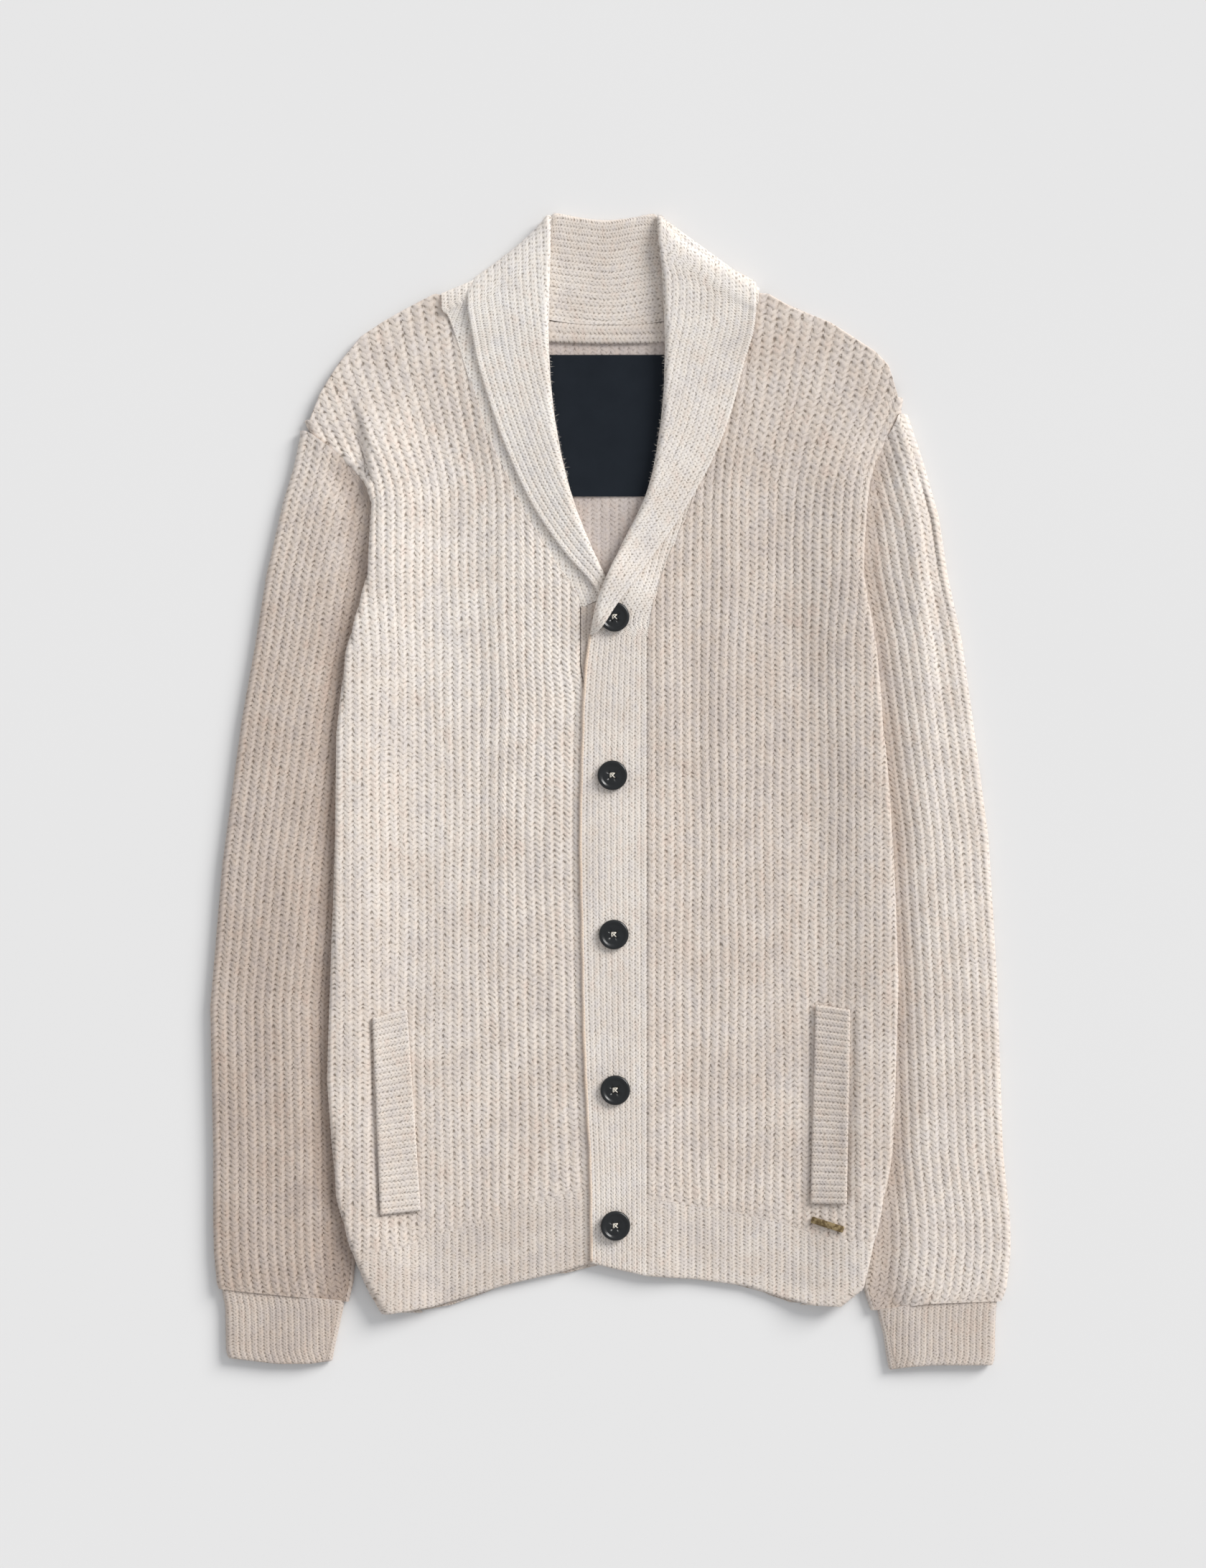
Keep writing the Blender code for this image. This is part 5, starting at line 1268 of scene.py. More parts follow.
def collar_grid(sweep):
    """Seam, stand, half a turn about the roll's heart, fall and edge, at every place.

    Gives the grid, and the point at which the stand ends.
    """
    inward = sweep.edge - sweep.roll
    inward = inward - sweep.lift * np.sum(inward * sweep.lift, axis=1, keepdims=True)
    inward = inward / np.linalg.norm(inward, axis=1, keepdims=True)
    heart = sweep.roll + inward * (sweep.half + HALF)
    start, end = heart - sweep.lift * sweep.half, heart + sweep.lift * sweep.half
    s, bends, f = [values[:, None, None] for values in (STAND_SHARE, ROLL_BENDS, FALL_SHARE)]
    grid = np.concatenate((
        sweep.seam + (start - sweep.seam) * s,
        heart - sweep.lift * sweep.half * np.cos(bends) - inward * sweep.half * np.sin(bends),
        end + (sweep.edge - end) * f)).transpose(1, 0, 2)
    return grid, start


print("ribs round the collar:", STAND_RIBS + FALL_RIBS)


# %% Collar as it sags and shows
def let_sag(grid, sweep, close, sag):
    """Let a side fold sag between the neck and its outer corner, and round that corner.

    With t from 0 at the roll to 1 at the outer end, the fall drops by sin(pi t^0.6), so most
    near the neck, and the stand by sin(pi t). close is 1 at the fold and dies out along the
    sweep.
    """
    x = grid[:, :, 0]
    for part, end, deep, power in ((slice(0, STAND_END), sweep.seam, sag.stand, 1.0),
                                   (slice(STAND_END, None), sweep.edge, sag.fall, 0.6)):
        t = np.clip((x[:, part] - sweep.roll[:, :1]) / (end[:, :1] - sweep.roll[:, :1]), 0, 1)
        grid[:, part, 1] -= deep * close[:, None] * np.sin(math.pi * t ** power)
    from_corner = x[:, STAND_END:] - sweep.edge[:, :1]
    grid[:, STAND_END:, 1] -= sag.corner * close[:, None] * np.exp(-(from_corner / 4.0) ** 2)


def lift_stand(grid, sweep, start, facing_up):
    """Lift the stand where it shows beside the right fall, to just under the fall's edge.

    Along the stand the lift grows as a quarter sine up to the fall's edge and falls evenly to
    the roll.
    """
    seam, edge = sweep.seam, sweep.edge
    below_edge = np.clip((edge[:, :1] - seam[:, :1]) / (sweep.roll[:, :1] - seam[:, :1]), 0.02, 0.9)
    room = (edge - seam - (start - seam) * below_edge)[:, 2:]
    room = np.maximum(room - WALL - 0.55, 0) * facing_up * (seam[:, :1] < 0)
    s = STAND_SHARE[None]
    rise = np.where(s < below_edge, np.sin(math.pi / 2 * s / below_edge), (1 - s) / (1 - below_edge))
    grid[:, :STAND_END, 2] += room * rise


def way_from_edge(grid, upright):
    """Way round the section from its outer edge, square to the sweep, or along x where upright."""
    along = np.gradient(grid, axis=0)
    along = along / np.linalg.norm(along, axis=2, keepdims=True)
    along = (along[:, 1:] + along[:, :-1]) / 2
    hops = np.diff(grid, axis=1)
    level = np.abs(hops[:, :, 0])
    hops = np.linalg.norm(hops - along * np.sum(hops * along, axis=2, keepdims=True), axis=2)
    upright = upright[:, None] * np.ones(hops.shape)
    upright[:, STAND_END:FALL_START] = 0.0
    hops = hops + upright * (level - hops)
    return np.concatenate((np.cumsum(hops[:, ::-1], axis=1)[:, ::-1], np.zeros((len(grid), 1))), axis=1)


# %% Collar piece
def collar_piece(sweep):
    """Sweep of the section seam - stand - roll - fall - edge along the stations.

    The ribs run along the outer edge, so a rib's number is the way from that edge over the
    ribs' pitch. At the foot the pitch makes them meet the band's ribs. Only the sides that
    show carry ribs: the fall's, and at the back neck the stand's.
    """
    places, at, lift = sweep.places, sweep.at, sweep.lift
    grid, start = collar_grid(sweep)
    folds = places[len(COLLAR_RIGHT) + TURN_STEPS.index(90)], places[-len(COLLAR_LEFT) - 4]
    close = [np.exp(-((at - fold) / SAG_REACH) ** 2) for fold in folds]
    for nearness, sag in zip(close, (SAG_RIGHT, SAG_LEFT)):
        let_sag(grid, sweep, nearness, sag)
    facing_up = ease((lift[:, 2] - 0.2) / 0.4)[:, None]
    facing_down = ease((-lift[:, 2] - 0.5) / 0.4)[:, None]
    lift_stand(grid, sweep, start, facing_up)
    grid[:, :, 2] = np.maximum(grid[:, :, 2], HALF)
    from_edge = way_from_edge(grid, ease(np.maximum(*close) / 0.6))
    foot_pitch = (from_edge[-1, 0] - FOOT_OVERLAP) / FOOT_RIBS
    pitch = BAND_PITCH + (COLLAR_PITCH - BAND_PITCH) * ease((sweep.roll[:, 1] - 200) / 120)
    pitch = foot_pitch + (pitch - foot_pitch) * ease((places[-1] - at) / 70)
    u = from_edge / pitch[:, None]
    v = (at / math.sqrt(2) / FINE_STITCH)[:, None]
    near_neck = ease((43.0 - np.abs(grid[:, :, 0] + 4.0)) / 4)
    ribs = soft_rib(u, COLLAR_RELIEF)
    relief = ribs * (1 - facing_down)
    relief[:, :STAND_END] = (ribs * facing_down * near_neck)[:, :STAND_END]
    bead = 0.3 * np.exp(-(from_edge[:, FALL_START:] / 3.0) ** 2)
    relief[:, FALL_START:] += bead * (1 - facing_down)
    under = np.zeros(grid.shape[:2])
    under[:, :STAND_END] = (1.4 * ribs * facing_up)[:, :STAND_END]
    taper = rounded(from_edge, 1.6)
    taper[:, FALL_START:] *= rounded(places[-1] - at, 2.0)[:, None]
    columns = grid.shape[1]
    keep = [*range(0, 36), *range(36, STAND_END - 10, 4), *range(STAND_END - 1, FALL_START + 1, 3),
            *range(FALL_START + 10, columns - 4, 16), columns - 2, columns - 1]
    # The collar's tone is painted light and shade: 0.11 darker where the collar is turned over at the back
    # neck, and up to 0.06 lighter towards the right front, where the fall shades the stand.
    piece = shell("collar_knit", grid, relief, u, v, keep, FINE_WOOL, flip=-1.0, floor=False, seed=60,
                  taper=taper, under=under,
                  tone=1.06 - 0.11 * facing_down + 0.06 * ease(-grid[:, :, 0] / 60))
    seam_line = grid[:, 0] + (0.0, 0.0, LINK_RISE)
    in_front = (lift[:, 2] > 0.9) & (grid[:, 0, 1] < 334)
    fronts = [seam_line[in_front & (grid[:, 0, 0] * way > 0)] for way in (-1, 1)]
    return piece, fronts


FOOT_OVERLAP = 1.7      # from the collar seam to the band's edge, at the foot
FOOT_RIBS = 13          # ribs round the section at the foot: the band's and two of the fall
COLLAR_RELIEF = 0.26
LINK_RISE = 0.75        # height of the linking stitches' line above the wall's middle

collar, link_lines = collar_piece(sweep)
finish_cloth(collar, "collar", COLLAR_CUT)


# %% [markdown]
# ## Neck tape and label
#
# Across the back neck runs a tape of plain knit that covers the collar's seam, and below it
# lies a woven label, left bare. Both could be drawn on the back as colour, but each is a layer
# of its own with an edge that catches the light, so both are thin walls.

# %% Tape
TAPE_WALL = 2.1


def tape_piece():
    """A flat strip, bowed at its middle: two low arches in section, its lower edge rounded."""
    left, right, foot, head = -50.0, 46.0, 311.1, 324.0
    x = np.linspace(left, right, 97)
    share = np.linspace(0, 1, 15)[:, None]
    below = foot + 1.5 * (x / right) ** 2
    above = head + 1.4 * (x / 30.0) ** 2
    y = below + (above - below) * share
    z = np.full(y.shape, BACK_Z + HALF + SEAM + TAPE_WALL / 2)
    middle = np.stack((np.broadcast_to(x, y.shape), y, z), axis=2)
    relief = 0.7 * np.sin(math.pi * np.minimum(share, 0.5)) ** 0.6 * np.ones(y.shape) - 0.6
    u = share * 2.0
    relief = relief + soft_rib(u, 0.35)
    return shell("neck_tape_knit", middle, relief, u, x / 3.1, [0, 24, 48, 72, 96], FINE_WOOL,
                 wall=TAPE_WALL, floor=False, seed=70, tone=0.90)


finish_cloth(tape_piece(), "neck_tape", TAPE_CUT)


# %% Woven label
LABEL_WALL = 0.6
LABEL_LEFT, LABEL_RIGHT, LABEL_FOOT, LABEL_HEAD = -44.0, 38.0, 205.0, 303.5


def woven_material():
    """Black satin tape: fine ridges across and along, a slow cloud."""
    made, tree, shader, around = new_material("black_woven_tape")
    weft, warp = [
        add_node(tree, "ShaderNodeTexWave", {"Vector": around, "Scale": scale, "Distortion": stray},
                 bands_direction=way).outputs["Fac"]
        for way, scale, stray in (("Y", 900.0, 0.6), ("X", 1300.0, 0.4))]
    cross = sum_of(tree, "MULTIPLY", weft, warp)
    cloud = noise(tree, around, 60.0, 3.0)
    tone = sum_of(tree, "MULTIPLY_ADD", cross, 0.5, sum_of(tree, "MULTIPLY", cloud, 0.6))
    colour = mixed(tree, tone, (0.0085, 0.012, 0.0175, 1.0), (0.0175, 0.023, 0.0315, 1.0))
    dress(tree, shader, colour, cross, 0.5, 0.15)
    shader.inputs["Roughness"].default_value = 0.7
    shader.inputs["Specular IOR Level"].default_value = 0.12
    return made


def label_piece():
    """The label: a thin wall, a little wavy, with folded ends that stand slightly proud."""
    x = np.linspace(LABEL_LEFT, LABEL_RIGHT, 83)
    y = np.linspace(LABEL_FOOT, LABEL_HEAD, 99)[:, None]
    wave = 0.10 * np.sin(x / 9.0 + y / 21.0) + 0.08 * np.sin(y / 7.0 - x / 30.0)
    folded = 0.12 * (np.exp(-((y - LABEL_FOOT) / 4.0) ** 2) + np.exp(-((LABEL_HEAD - y) / 4.0) ** 2))
    z = BACK_Z + HALF + SEAM + LABEL_WALL / 2 + 0.18 + wave
    middle = np.stack((np.broadcast_to(x, z.shape), np.broadcast_to(y, z.shape), z), axis=2)
    return shell("neck_label", middle, folded + np.zeros(z.shape), x / 2, y / 2, [0, 20, 41, 62, 82],
                 woven_material(), wall=LABEL_WALL, floor=False, seed=71)


LABEL_CUT = Cut(LABEL_RIGHT - LABEL_LEFT, LABEL_HEAD - LABEL_FOOT)
finish_cloth(label_piece(), "label", LABEL_CUT)

# %% [markdown]
# ## Pocket welts
#
# Each pocket mouth is edged with a strip that is ribbed across. It could be shrunk onto the
# front with a modifier; here it is made from the front's own formula, moved out, so it follows
# every swell of the cloth under it.

# %% Welts
WELT_WIDTH, WELT_LENGTH, WELT_WALL, WELT_RIBS = 26.0, 140.0, 1.8, 31
# The last column is painted light and shade: each welt's tone, darker on the left front.
WELTS = (
    ("pocket_welt_right", RIGHT_SIDE, RIGHT_CENTRE, 1.0, WELT_RIGHT, 0.94),
    ("pocket_welt_left", LEFT_SIDE, LEFT_CENTRE, -1.0, WELT_LEFT, 0.86),
)


def welt_piece(node, side, centre, flip, corners, tone, seed):
    """Columns run along the mouth, one rib every 4.5 mm; the free outer edge is rounded and proud."""
    share = np.linspace(0, 1, WELT_RIBS * 6 + 1)
    across = row_shares(15, WELT_WIDTH)[:, None]
    outer, inner = [np.array(foot) + np.outer(share, np.subtract(top, foot)) for foot, top in
                    ((corners.outer_foot, corners.outer_top), (corners.inner_foot, corners.inner_top))]
    flat = inner + (outer - inner) * across[:, :, None]
    x, y = flat[:, :, 0], flat[:, :, 1]
    ground = front_height(side, centre, np.abs(x), y)
    middle = np.dstack((x, y, ground + HALF + BODY_RIB + SEAM + WELT_WALL / 2 + 0.25))
    u = share * WELT_RIBS
    v = across * WELT_WIDTH / FINE_STITCH
    rim = 0.5 * np.exp(-((1 - across) / 0.12) ** 2)
    relief = soft_rib(u, 0.45) * (0.3 + 0.7 * ease((1 - across) * 9)) + rim
    from_side = np.minimum(across, 1 - across) * WELT_WIDTH
    from_end = np.minimum(share, 1 - share) * WELT_LENGTH
    keep = [*range(0, len(share) - 1, 31), len(share) - 1]
    return shell(node + "_knit", middle, relief, u, v, keep, FINE_WOOL, wall=WELT_WALL, flip=flip,
                 floor=False, seed=seed, taper=rounded(from_side, 1.4) * rounded(from_end, 1.6), tone=tone)


for seed, (node, side, centre, flip, corners, tone) in enumerate(WELTS, 80):
    piece = welt_piece(node, side, centre, flip, corners, tone, seed)
    finish_cloth(piece, node, WELT_CUT)

# %% [markdown]
# ## Buttons
#
# A button is a turned disc with a rounded rim and a dished middle. A cylinder with bevels
# would come close; a profile spun about its axis gives the rim and the dish their own curves.
# Four holes are bored with a Boolean, because they really are bored, and thread crosses
# between them.

# %% Button material
BUTTON_RADIUS, BUTTON_THICK, HOLE_SPOT, HOLE_RADIUS = 10.35, 3.0, 2.1, 0.85
DISH_HEIGHT = 0.62      # the dish's floor, as a share of the thickness
BUTTON_SIDES, HOLE_SIDES = 72, 20


def resin_material():
    """Near-black polished resin with a faint cloud in it."""
    made, tree, shader, around = new_material("black_button_resin")
    cloud = noise(tree, around, 130.0, 4.0)
    colour = mixed(tree, cloud, (0.003, 0.004, 0.005, 1.0), (0.010, 0.012, 0.014, 1.0))
    dress(tree, shader, colour, noise(tree, around, 900.0), 0.12, 0.08)
    tree.links.new(step_between(tree, cloud, 0.3, 0.7, 0.24, 0.38), shader.inputs["Roughness"])
    return made


def thread_material():
    """Cream sewing thread with a fine twist."""
    made, tree, shader, around = new_material("cream_thread")
    twist = add_node(tree, "ShaderNodeTexWave", {"Vector": around, "Scale": 700.0, "Distortion": 1.0},
                     bands_direction="DIAGONAL").outputs["Fac"]
    colour = mixed(tree, twist, (0.62, 0.57, 0.48, 1.0), (0.86, 0.82, 0.74, 1.0))
    dress(tree, shader, colour, twist, 0.5, 0.1)
    shader.inputs["Roughness"].default_value = 0.8
    return made


RESIN = resin_material()
THREAD = thread_material()
print("button and thread:", RESIN.name, THREAD.name)


# %% Turning and boring
def capped(rings):
    """Points and faces of rings joined one to the next, with the first and last filled."""
    numbers = wrapped(np.arange(rings.shape[0] * rings.shape[1]).reshape(rings.shape[:2]))
    faces = cells(numbers).reshape(-1, 4).tolist()
    faces += [numbers[0, :-1][::-1].tolist(), numbers[-1, :-1].tolist()]
    return rings.reshape(-1, 3), faces


def turned(profile, sides):
    """A profile of radius and height spun about z."""
    profile = np.array(profile)
    angles = np.linspace(0, 2 * math.pi, sides, endpoint=False)
    x, y = np.outer(profile[:, 0], np.cos(angles)), np.outer(profile[:, 0], np.sin(angles))
    return capped(np.stack((x, y, np.repeat(profile[:, 1:], sides, axis=1)), axis=2))


def plain_mesh(name, points, faces, material, smooth=True):
    """A closed mesh from points in millimetres, its faces turned outwards."""
    mesh = bpy.data.meshes.new(name)
    mesh.from_pydata((np.asarray(points) * MM).tolist(), [], faces)
    bm = bmesh.new()
    bm.from_mesh(mesh)
    bmesh.ops.recalc_face_normals(bm, faces=bm.faces)
    bm.to_mesh(mesh)
    bm.free()
    if smooth:
        mesh.shade_smooth()
    mesh.materials.append(material)
    return add_object(name, mesh)


def tilted(points, degrees):
    """Turn points about the y axis."""
    c, s = math.cos(math.radians(degrees)), math.sin(math.radians(degrees))
    return points @ np.array(((c, 0, -s), (0, 1, 0), (s, 0, c)))


def joined(parts):
    """Several lots of points and faces as one."""
    all_points, all_faces, total = [], [], 0
    for points, faces in parts:
        all_faces += [[corner + total for corner in face] for face in faces]
        all_points.append(points)
        total += len(points)
    return np.concatenate(all_points), all_faces


print("faces of a turned pin:", len(turned(((1.0, 0.0), (1.0, 1.0)), HOLE_SIDES)[1]))


# %% Profile and holes
def rim_profile():
    """Half of a button's section: flat foot, round rim, and a shallow dish inside it."""
    r, t = BUTTON_RADIUS, BUTTON_THICK
    edge = [(r - 1.5 + 1.5 * math.sin(a), t / 2 - t / 2 * math.cos(a))
            for a in np.linspace(0.15, math.pi - 0.25, 14)]
    dish = [(r - 1.9, t * 0.965), (r - 2.3, t * 0.90), (r - 2.7, t * 0.78), (r - 3.1, t * 0.69),
            (r - 3.6, t * 0.635), (r - 4.4, t * DISH_HEIGHT), (1.0, t * DISH_HEIGHT)]
    return [(r - 1.7, 0.0), *edge, *dish]


def hole_spots(height):
    """The middles of the four holes, at some height in the button."""
    angles = np.radians((45, 135, 225, 315))
    return np.stack((HOLE_SPOT * np.cos(angles), HOLE_SPOT * np.sin(angles), np.full(4, height)), axis=1)


def set_on_band(points, spot):
    """Points of a button moved from its own middle to its place, with its tilt."""
    return tilted(points, spot.tilt) + (spot.x, spot.y, spot.z)


def button_piece(number, spot):
    """One button: a turned disc with four bored holes, tilted and set on its band."""
    points, faces = turned(rim_profile(), BUTTON_SIDES)
    piece = plain_mesh("button_%d_turned" % number, set_on_band(points, spot), faces, RESIN)
    pin, pin_faces = turned(((HOLE_RADIUS, -BUTTON_THICK), (HOLE_RADIUS, 2 * BUTTON_THICK)), HOLE_SIDES)
    points, faces = joined([(pin + hole, pin_faces) for hole in hole_spots(0.0)])
    drill = plain_mesh("drill", set_on_band(points, spot), faces, RESIN, smooth=False)
    cut = piece.modifiers.new("holes", "BOOLEAN")
    cut.operation = "DIFFERENCE"
    cut.object = drill
    graph = bpy.context.evaluated_depsgraph_get()
    bored = bpy.data.meshes.new_from_object(piece.evaluated_get(graph))
    piece.modifiers.clear()
    piece.data = bored
    bpy.data.objects.remove(drill, do_unlink=True)
    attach(piece, "root")
    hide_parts("button_%d" % number)


print("points in a button's profile:", len(rim_profile()))


# %% Buttons and their thread
Button = namedtuple("Button", "x y z tilt")
BUTTONS = tuple(Button(*row) for row in (
    (3.0, 121.0, 8.7, 0.0), (1.5, 11.0, 8.0, 0.0), (2.5, -99.5, 8.0, 0.0),
    (3.5, -207.5, 8.0, 0.0), (3.5, -301.5, 9.0, 5.0)))
THREAD_RADIUS = 0.36


def strand(points, radius, sides=8):
    """A round strand along points: rings square to the path, closed at both ends."""
    points = np.asarray(points, float)
    along = np.gradient(points, axis=0)
    along /= np.linalg.norm(along, axis=1, keepdims=True)
    aside = np.cross(along, (0.0, 0.0, 1.0))
    aside /= np.maximum(np.linalg.norm(aside, axis=1, keepdims=True), 1e-9)
    upward = np.cross(aside, along)
    angles = np.linspace(0, 2 * math.pi, sides, endpoint=False)
    radius = np.broadcast_to(radius, (len(points),))[:, None, None]
    rings = points[:, None] + radius * (aside[:, None] * np.cos(angles)[:, None]
                                        + upward[:, None] * np.sin(angles)[:, None])
    return capped(rings)


def thread_piece(number, spot):
    """Two strands that cross between the holes and two more along its sides.

    Each rises from its hole by the square root of a sine.
    """
    holes = hole_spots(BUTTON_THICK * DISH_HEIGHT - 0.5)
    strands = []
    for first, last, lift in ((0, 2, 0.55), (1, 3, 0.75), (1, 2, 0.35), (0, 1, 0.35)):
        t = np.linspace(0, 1, 9)[:, None]
        line = holes[first] + (holes[last] - holes[first]) * t
        line[:, 2] += (0.55 + lift) * np.sin(math.pi * t[:, 0]) ** 0.5
        strands.append(strand(line, THREAD_RADIUS))
    points, faces = joined(strands)
    piece = plain_mesh("button_%d_thread" % number, set_on_band(points, spot), faces, THREAD)
    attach(piece, "root")


for number, spot in enumerate(BUTTONS, 1):
    button_piece(number, spot)
    thread_piece(number, spot)
print("buttons:", len(BUTTONS), "of", 2 * BUTTON_RADIUS, "mm")

# %% [markdown]
# ## Metal bar
#
# Above the left hem sits a small bar of aged brass, left bare. A cube with a Bevel would serve;
# rounded rectangles stacked by height give its corners and its thin edges their own radii.

# %% Bar
BAR_CENTRE, BAR_SIZE, BAR_TURN, BAR_CORNER = (150.75, -300.75), (23.5, 4.5, 1.2), -17.0, 0.9


def brass_material():
    """Aged brass: brushed along the bar, darker where it has tarnished."""
    made, tree, shader, around = new_material("aged_brass_bar")
    lengthwise = add_node(tree, "ShaderNodeMapping",
                          {0: around, 2: (0.0, 0.0, math.radians(-BAR_TURN)), 3: (60.0, 2600.0, 60.0)})
    brush = noise(tree, lengthwise.outputs[0], 1.0)
    patch = step_between(tree, noise(tree, around, 420.0, 4.0), 0.42, 0.62)
    colour = mixed(tree, patch, (0.20, 0.14, 0.07, 1.0), (0.46, 0.35, 0.19, 1.0))
    dress(tree, shader, colour, brush, 0.3, 0.1)
    tree.links.new(sum_of(tree, "MULTIPLY_ADD", brush, 0.3, 0.28), shader.inputs["Roughness"])
    shader.inputs["Metallic"].default_value = 1.0
    return made


def bar_piece():
    """The bar: rounded rectangles stacked by height, then turned and laid on the cloth."""
    length, width, thick = BAR_SIZE
    angles = np.linspace(0, 2 * math.pi, 48, endpoint=False)
    rings = []
    for z, inset in ((0.0, 0.25), (0.12, 0.06), (0.3, 0.0), (0.9, 0.0), (1.08, 0.06), (1.2, 0.28)):
        corner = BAR_CORNER - inset
        cx = np.sign(np.cos(angles)) * (length / 2 - BAR_CORNER) + corner * np.cos(angles)
        cy = np.sign(np.sin(angles)) * (width / 2 - BAR_CORNER) + corner * np.sin(angles)
        rings.append(np.stack((cx, cy, np.full(len(angles), z - thick / 2)), axis=1))
    points, faces = capped(np.array(rings))
    turn = math.radians(BAR_TURN)
    ends = [front_height(LEFT_SIDE, LEFT_CENTRE, BAR_CENTRE[0] + way * length * math.cos(turn),
                         BAR_CENTRE[1] + way * length * math.sin(turn)) for way in (-0.5, 0.5)]
    points = tilted(points, -math.degrees(math.atan2(ends[1] - ends[0], length)))
    c, s = math.cos(turn), math.sin(turn)
    points = points @ np.array(((c, s, 0), (-s, c, 0), (0, 0, 1)))
    height = sum(ends) / 2 + HALF + BODY_RIB + SEAM + thick / 2 + 0.25
    piece = plain_mesh("trim_bar_rounded", points + (*BAR_CENTRE, height), faces, brass_material())
    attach(piece, "root")
    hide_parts("trim_bar")
    print("bar:", BAR_SIZE, "mm, turned by", BAR_TURN, "degrees")


bar_piece()

# %% [markdown]
# ## Edge roll and linking lines
#
# A knitted band's free edge curls into a thin roll. Where the collar is linked to the fronts,
# a row of stitches stands up a little along the seam. A curve with a round bevel could draw
# them, but its mesh would lack the stitch count that the wool's material reads.

# %% Rolls along edges
ROLL_SIDES, ROLL_STITCH = 12, 2.0
EDGE_ROLL_RADIUS, LINK_RADIUS = 1.2, 0.8


def roll_piece(name, path, radius, material):
    """A round roll along a path, with its own count of stitches on it."""
    points, faces = strand(path, radius, ROLL_SIDES)
    piece = plain_mesh(name, points, faces, material)
    set_painted_light(piece.data, 1.0)
    length = np.concatenate(((0.0,), np.cumsum(np.linalg.norm(np.diff(path, axis=0), axis=1))))
    layer = piece.data.uv_layers.new(name="stitches")
    corners = np.zeros(len(piece.data.loops), int)
    piece.data.loops.foreach_get("vertex_index", corners)
    around = (corners % ROLL_SIDES) / (ROLL_SIDES / 2)
    along = length[corners // ROLL_SIDES] / ROLL_STITCH
    layer.data.foreach_set("uv", np.stack((around, along), axis=1).astype(np.float32).ravel())
    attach(piece, "root")
    print("%s: %d mm long" % (name, length[-1]))


roll_y = np.linspace(-326.5, 108.5, 220)
roll_x = band_edge(roll_y) + 0.7 + 0.25 * np.sin(roll_y / 23.0) + 0.12 * np.sin(roll_y / 5.1)
roll_path = np.stack((roll_x, roll_y, np.full(len(roll_y), TOP_BAND_Z + 0.45)), axis=1)
# The band's edge roll takes the darker, warmer edge wool: painted warm shade with light glowing through
# it.
roll_piece("band_edge_roll", roll_path, EDGE_ROLL_RADIUS, SHADED_EDGE_WOOL)
for way, line in zip(("right", "left"), link_lines):
    from_end = np.minimum(np.arange(len(line)), np.arange(len(line))[::-1])
    roll_piece("collar_link_" + way, line, LINK_RADIUS * rounded(from_end, 4.0), FINE_WOOL)

# %% [markdown]
# ## Fuzz
#
# Carded wool sheds fine hairs. They matter most where the cloth turns away from the eye,
# because they blur its outline, so most of them grow there, and a few longer ones stand along
# the neck's edges, where they show against the dark label. Hair curves would be lighter, but
# they don't leave Blender as meshes. So each hair is a three-sided spike bent once: a ring at
# its root, a ring at half its length and a point.

# %% Hairs
HAIR_RADIUS = 0.05


def unit(vectors):
    """Vectors of length 1."""
    return vectors / np.maximum(np.linalg.norm(vectors, axis=1, keepdims=True), 1e-9)


def wool_hair_material():
    """Pale hair, a little lighter or darker from place to place."""
    made, tree, shader, around = new_material("oatmeal_hair")
    cloud = noise(tree, around, 300.0)
    dress(tree, shader, mixed(tree, cloud, (0.62, 0.56, 0.50, 1.0), (0.92, 0.87, 0.81, 1.0)))
    shader.inputs["Roughness"].default_value = 0.8
    shader.inputs["Specular IOR Level"].default_value = 0.2
    return made


def hairs(name, roots, normals, lengths, radius, rng):
    """Spikes from roots: along normal + chance, bent again by chance at half their length."""
    count = len(roots)
    first = unit(0.75 * normals + rng.normal(0, 0.45, (count, 3)))
    second = unit(first + rng.normal(0, 0.6, (count, 3)))
    base = roots - 0.2 * normals
    bend = roots + first * lengths[:, None] / 2
    tip = bend + second * lengths[:, None] / 2
    aside = unit(np.cross(first, rng.normal(0, 1, (count, 3))))
    beside = np.cross(first, aside)
    turns = np.radians((0, 120, 240))
    ring = aside[:, None] * np.cos(turns)[:, None] + beside[:, None] * np.sin(turns)[:, None]
    points = np.concatenate((base[:, None] + ring * radius, bend[:, None] + ring * radius * 0.8,
                             tip[:, None]), axis=1)
    pattern = ((0, 1, 4, 3), (1, 2, 5, 4), (2, 0, 3, 5), (3, 4, 6), (4, 5, 6), (5, 3, 6), (2, 1, 0))
    starts = np.arange(count) * 7
    faces = [face for corners in pattern for face in (starts[:, None] + corners).tolist()]
    piece = plain_mesh(name, points.reshape(-1, 3), faces, WOOL_HAIR)
    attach(piece, "root")
    print(name, count, "hairs")


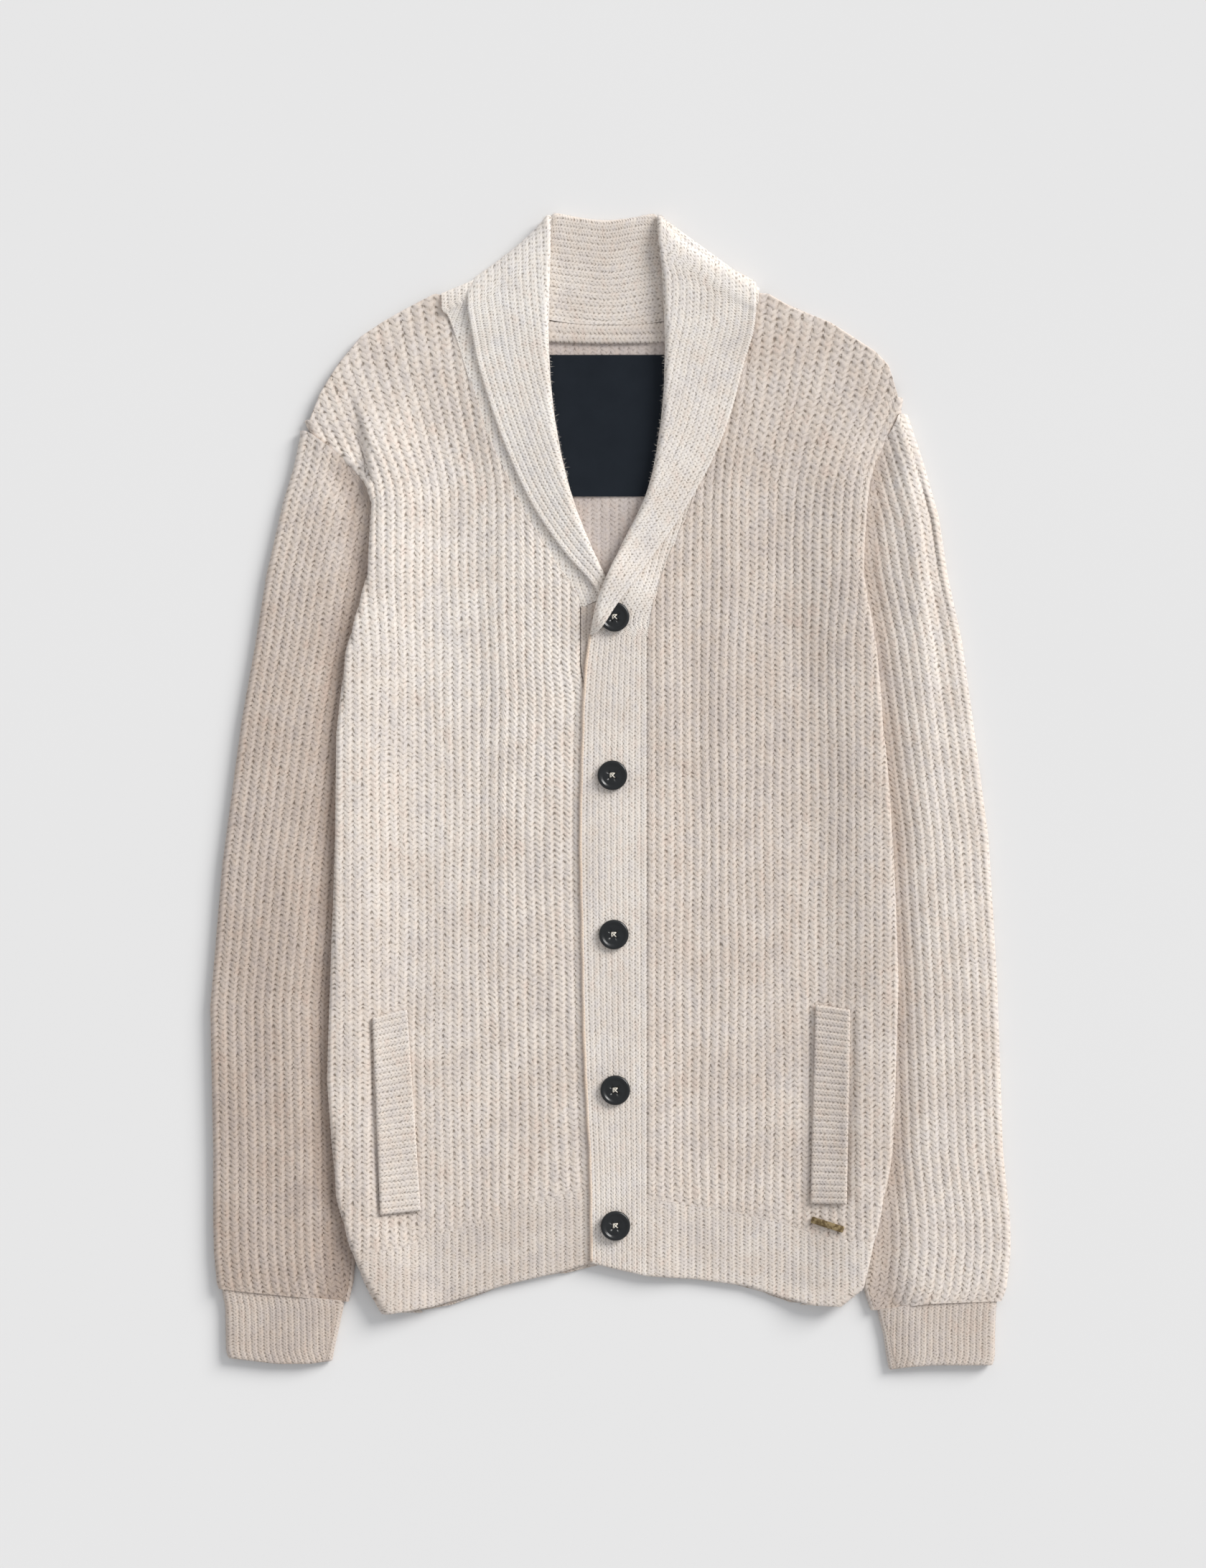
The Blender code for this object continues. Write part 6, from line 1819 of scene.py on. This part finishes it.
# %% Fuzz
WOOL_HAIR = wool_hair_material()
rng = np.random.default_rng(7)
skin_points = np.concatenate([points.reshape(-1, 3) for points, _ in FUZZY])
skin_normals = np.concatenate([normals.reshape(-1, 3) for _, normals in FUZZY])
steep = np.where(skin_normals[:, 2] > -0.1, 1 - np.abs(skin_normals[:, 2]), 0.0)
by_label = (np.abs(skin_points[:, 0] + 3) < 46) & (skin_points[:, 1] > 215) & (skin_points[:, 2] > 5)
chance_all = (steep ** 2 + 0.02 * (skin_normals[:, 2] > 0.5)) * (1 + 4 * by_label)
chance_neck = np.where(by_label, steep ** 2, 0.0)
for name, chance, count, lengths, radius in (
        ("wool_fuzz", chance_all, 11500, (0.7, 2.2), HAIR_RADIUS),
        ("neck_hairs", chance_neck, 260, (1.5, 4.0), 2 * HAIR_RADIUS)):
    chosen = rng.choice(len(skin_points), count, p=chance / chance.sum())
    hairs(name, skin_points[chosen], skin_normals[chosen], rng.uniform(*lengths, count), radius, rng)

# %% [markdown]
# ## Floor
#
# The garment lies on a pale table. One large face would do; a grid of a few is as light, and
# its two near whites keep it from being one flat colour.

# %% Floor
TABLE_REACH, TABLE_Z = 4000.0, -0.3


def floor_piece():
    """A pale table top under the garment, much larger than what is seen."""
    made, tree, shader, around = new_material("pale_table")
    colour = mixed(tree, noise(tree, around, 3.0), (0.80, 0.80, 0.80, 1.0), (0.82, 0.82, 0.82, 1.0))
    dress(tree, shader, colour)
    shader.inputs["Roughness"].default_value = 0.9
    line = np.linspace(-TABLE_REACH, TABLE_REACH, 9)
    x, y = np.meshgrid(line, line)
    points = np.stack((x, y, np.full(x.shape, TABLE_Z)), axis=2).reshape(-1, 3)
    faces = cells(np.arange(81).reshape(9, 9)).reshape(-1, 4)
    mesh = bpy.data.meshes.new("floor")
    mesh.from_pydata((points * MM).tolist(), [], faces.tolist())
    mesh.materials.append(made)
    add_object("floor", mesh)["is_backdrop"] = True
    print("table:", 2 * TABLE_REACH * MM, "m wide")


floor_piece()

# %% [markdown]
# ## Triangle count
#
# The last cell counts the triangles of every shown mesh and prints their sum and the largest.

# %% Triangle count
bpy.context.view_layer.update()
triangles = {o.name: sum(face.loop_total - 2 for face in o.data.polygons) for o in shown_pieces()
             if o.type == "MESH"}
print("triangles:", sum(triangles.values()), "most in", max(triangles, key=triangles.get),
      max(triangles.values()))
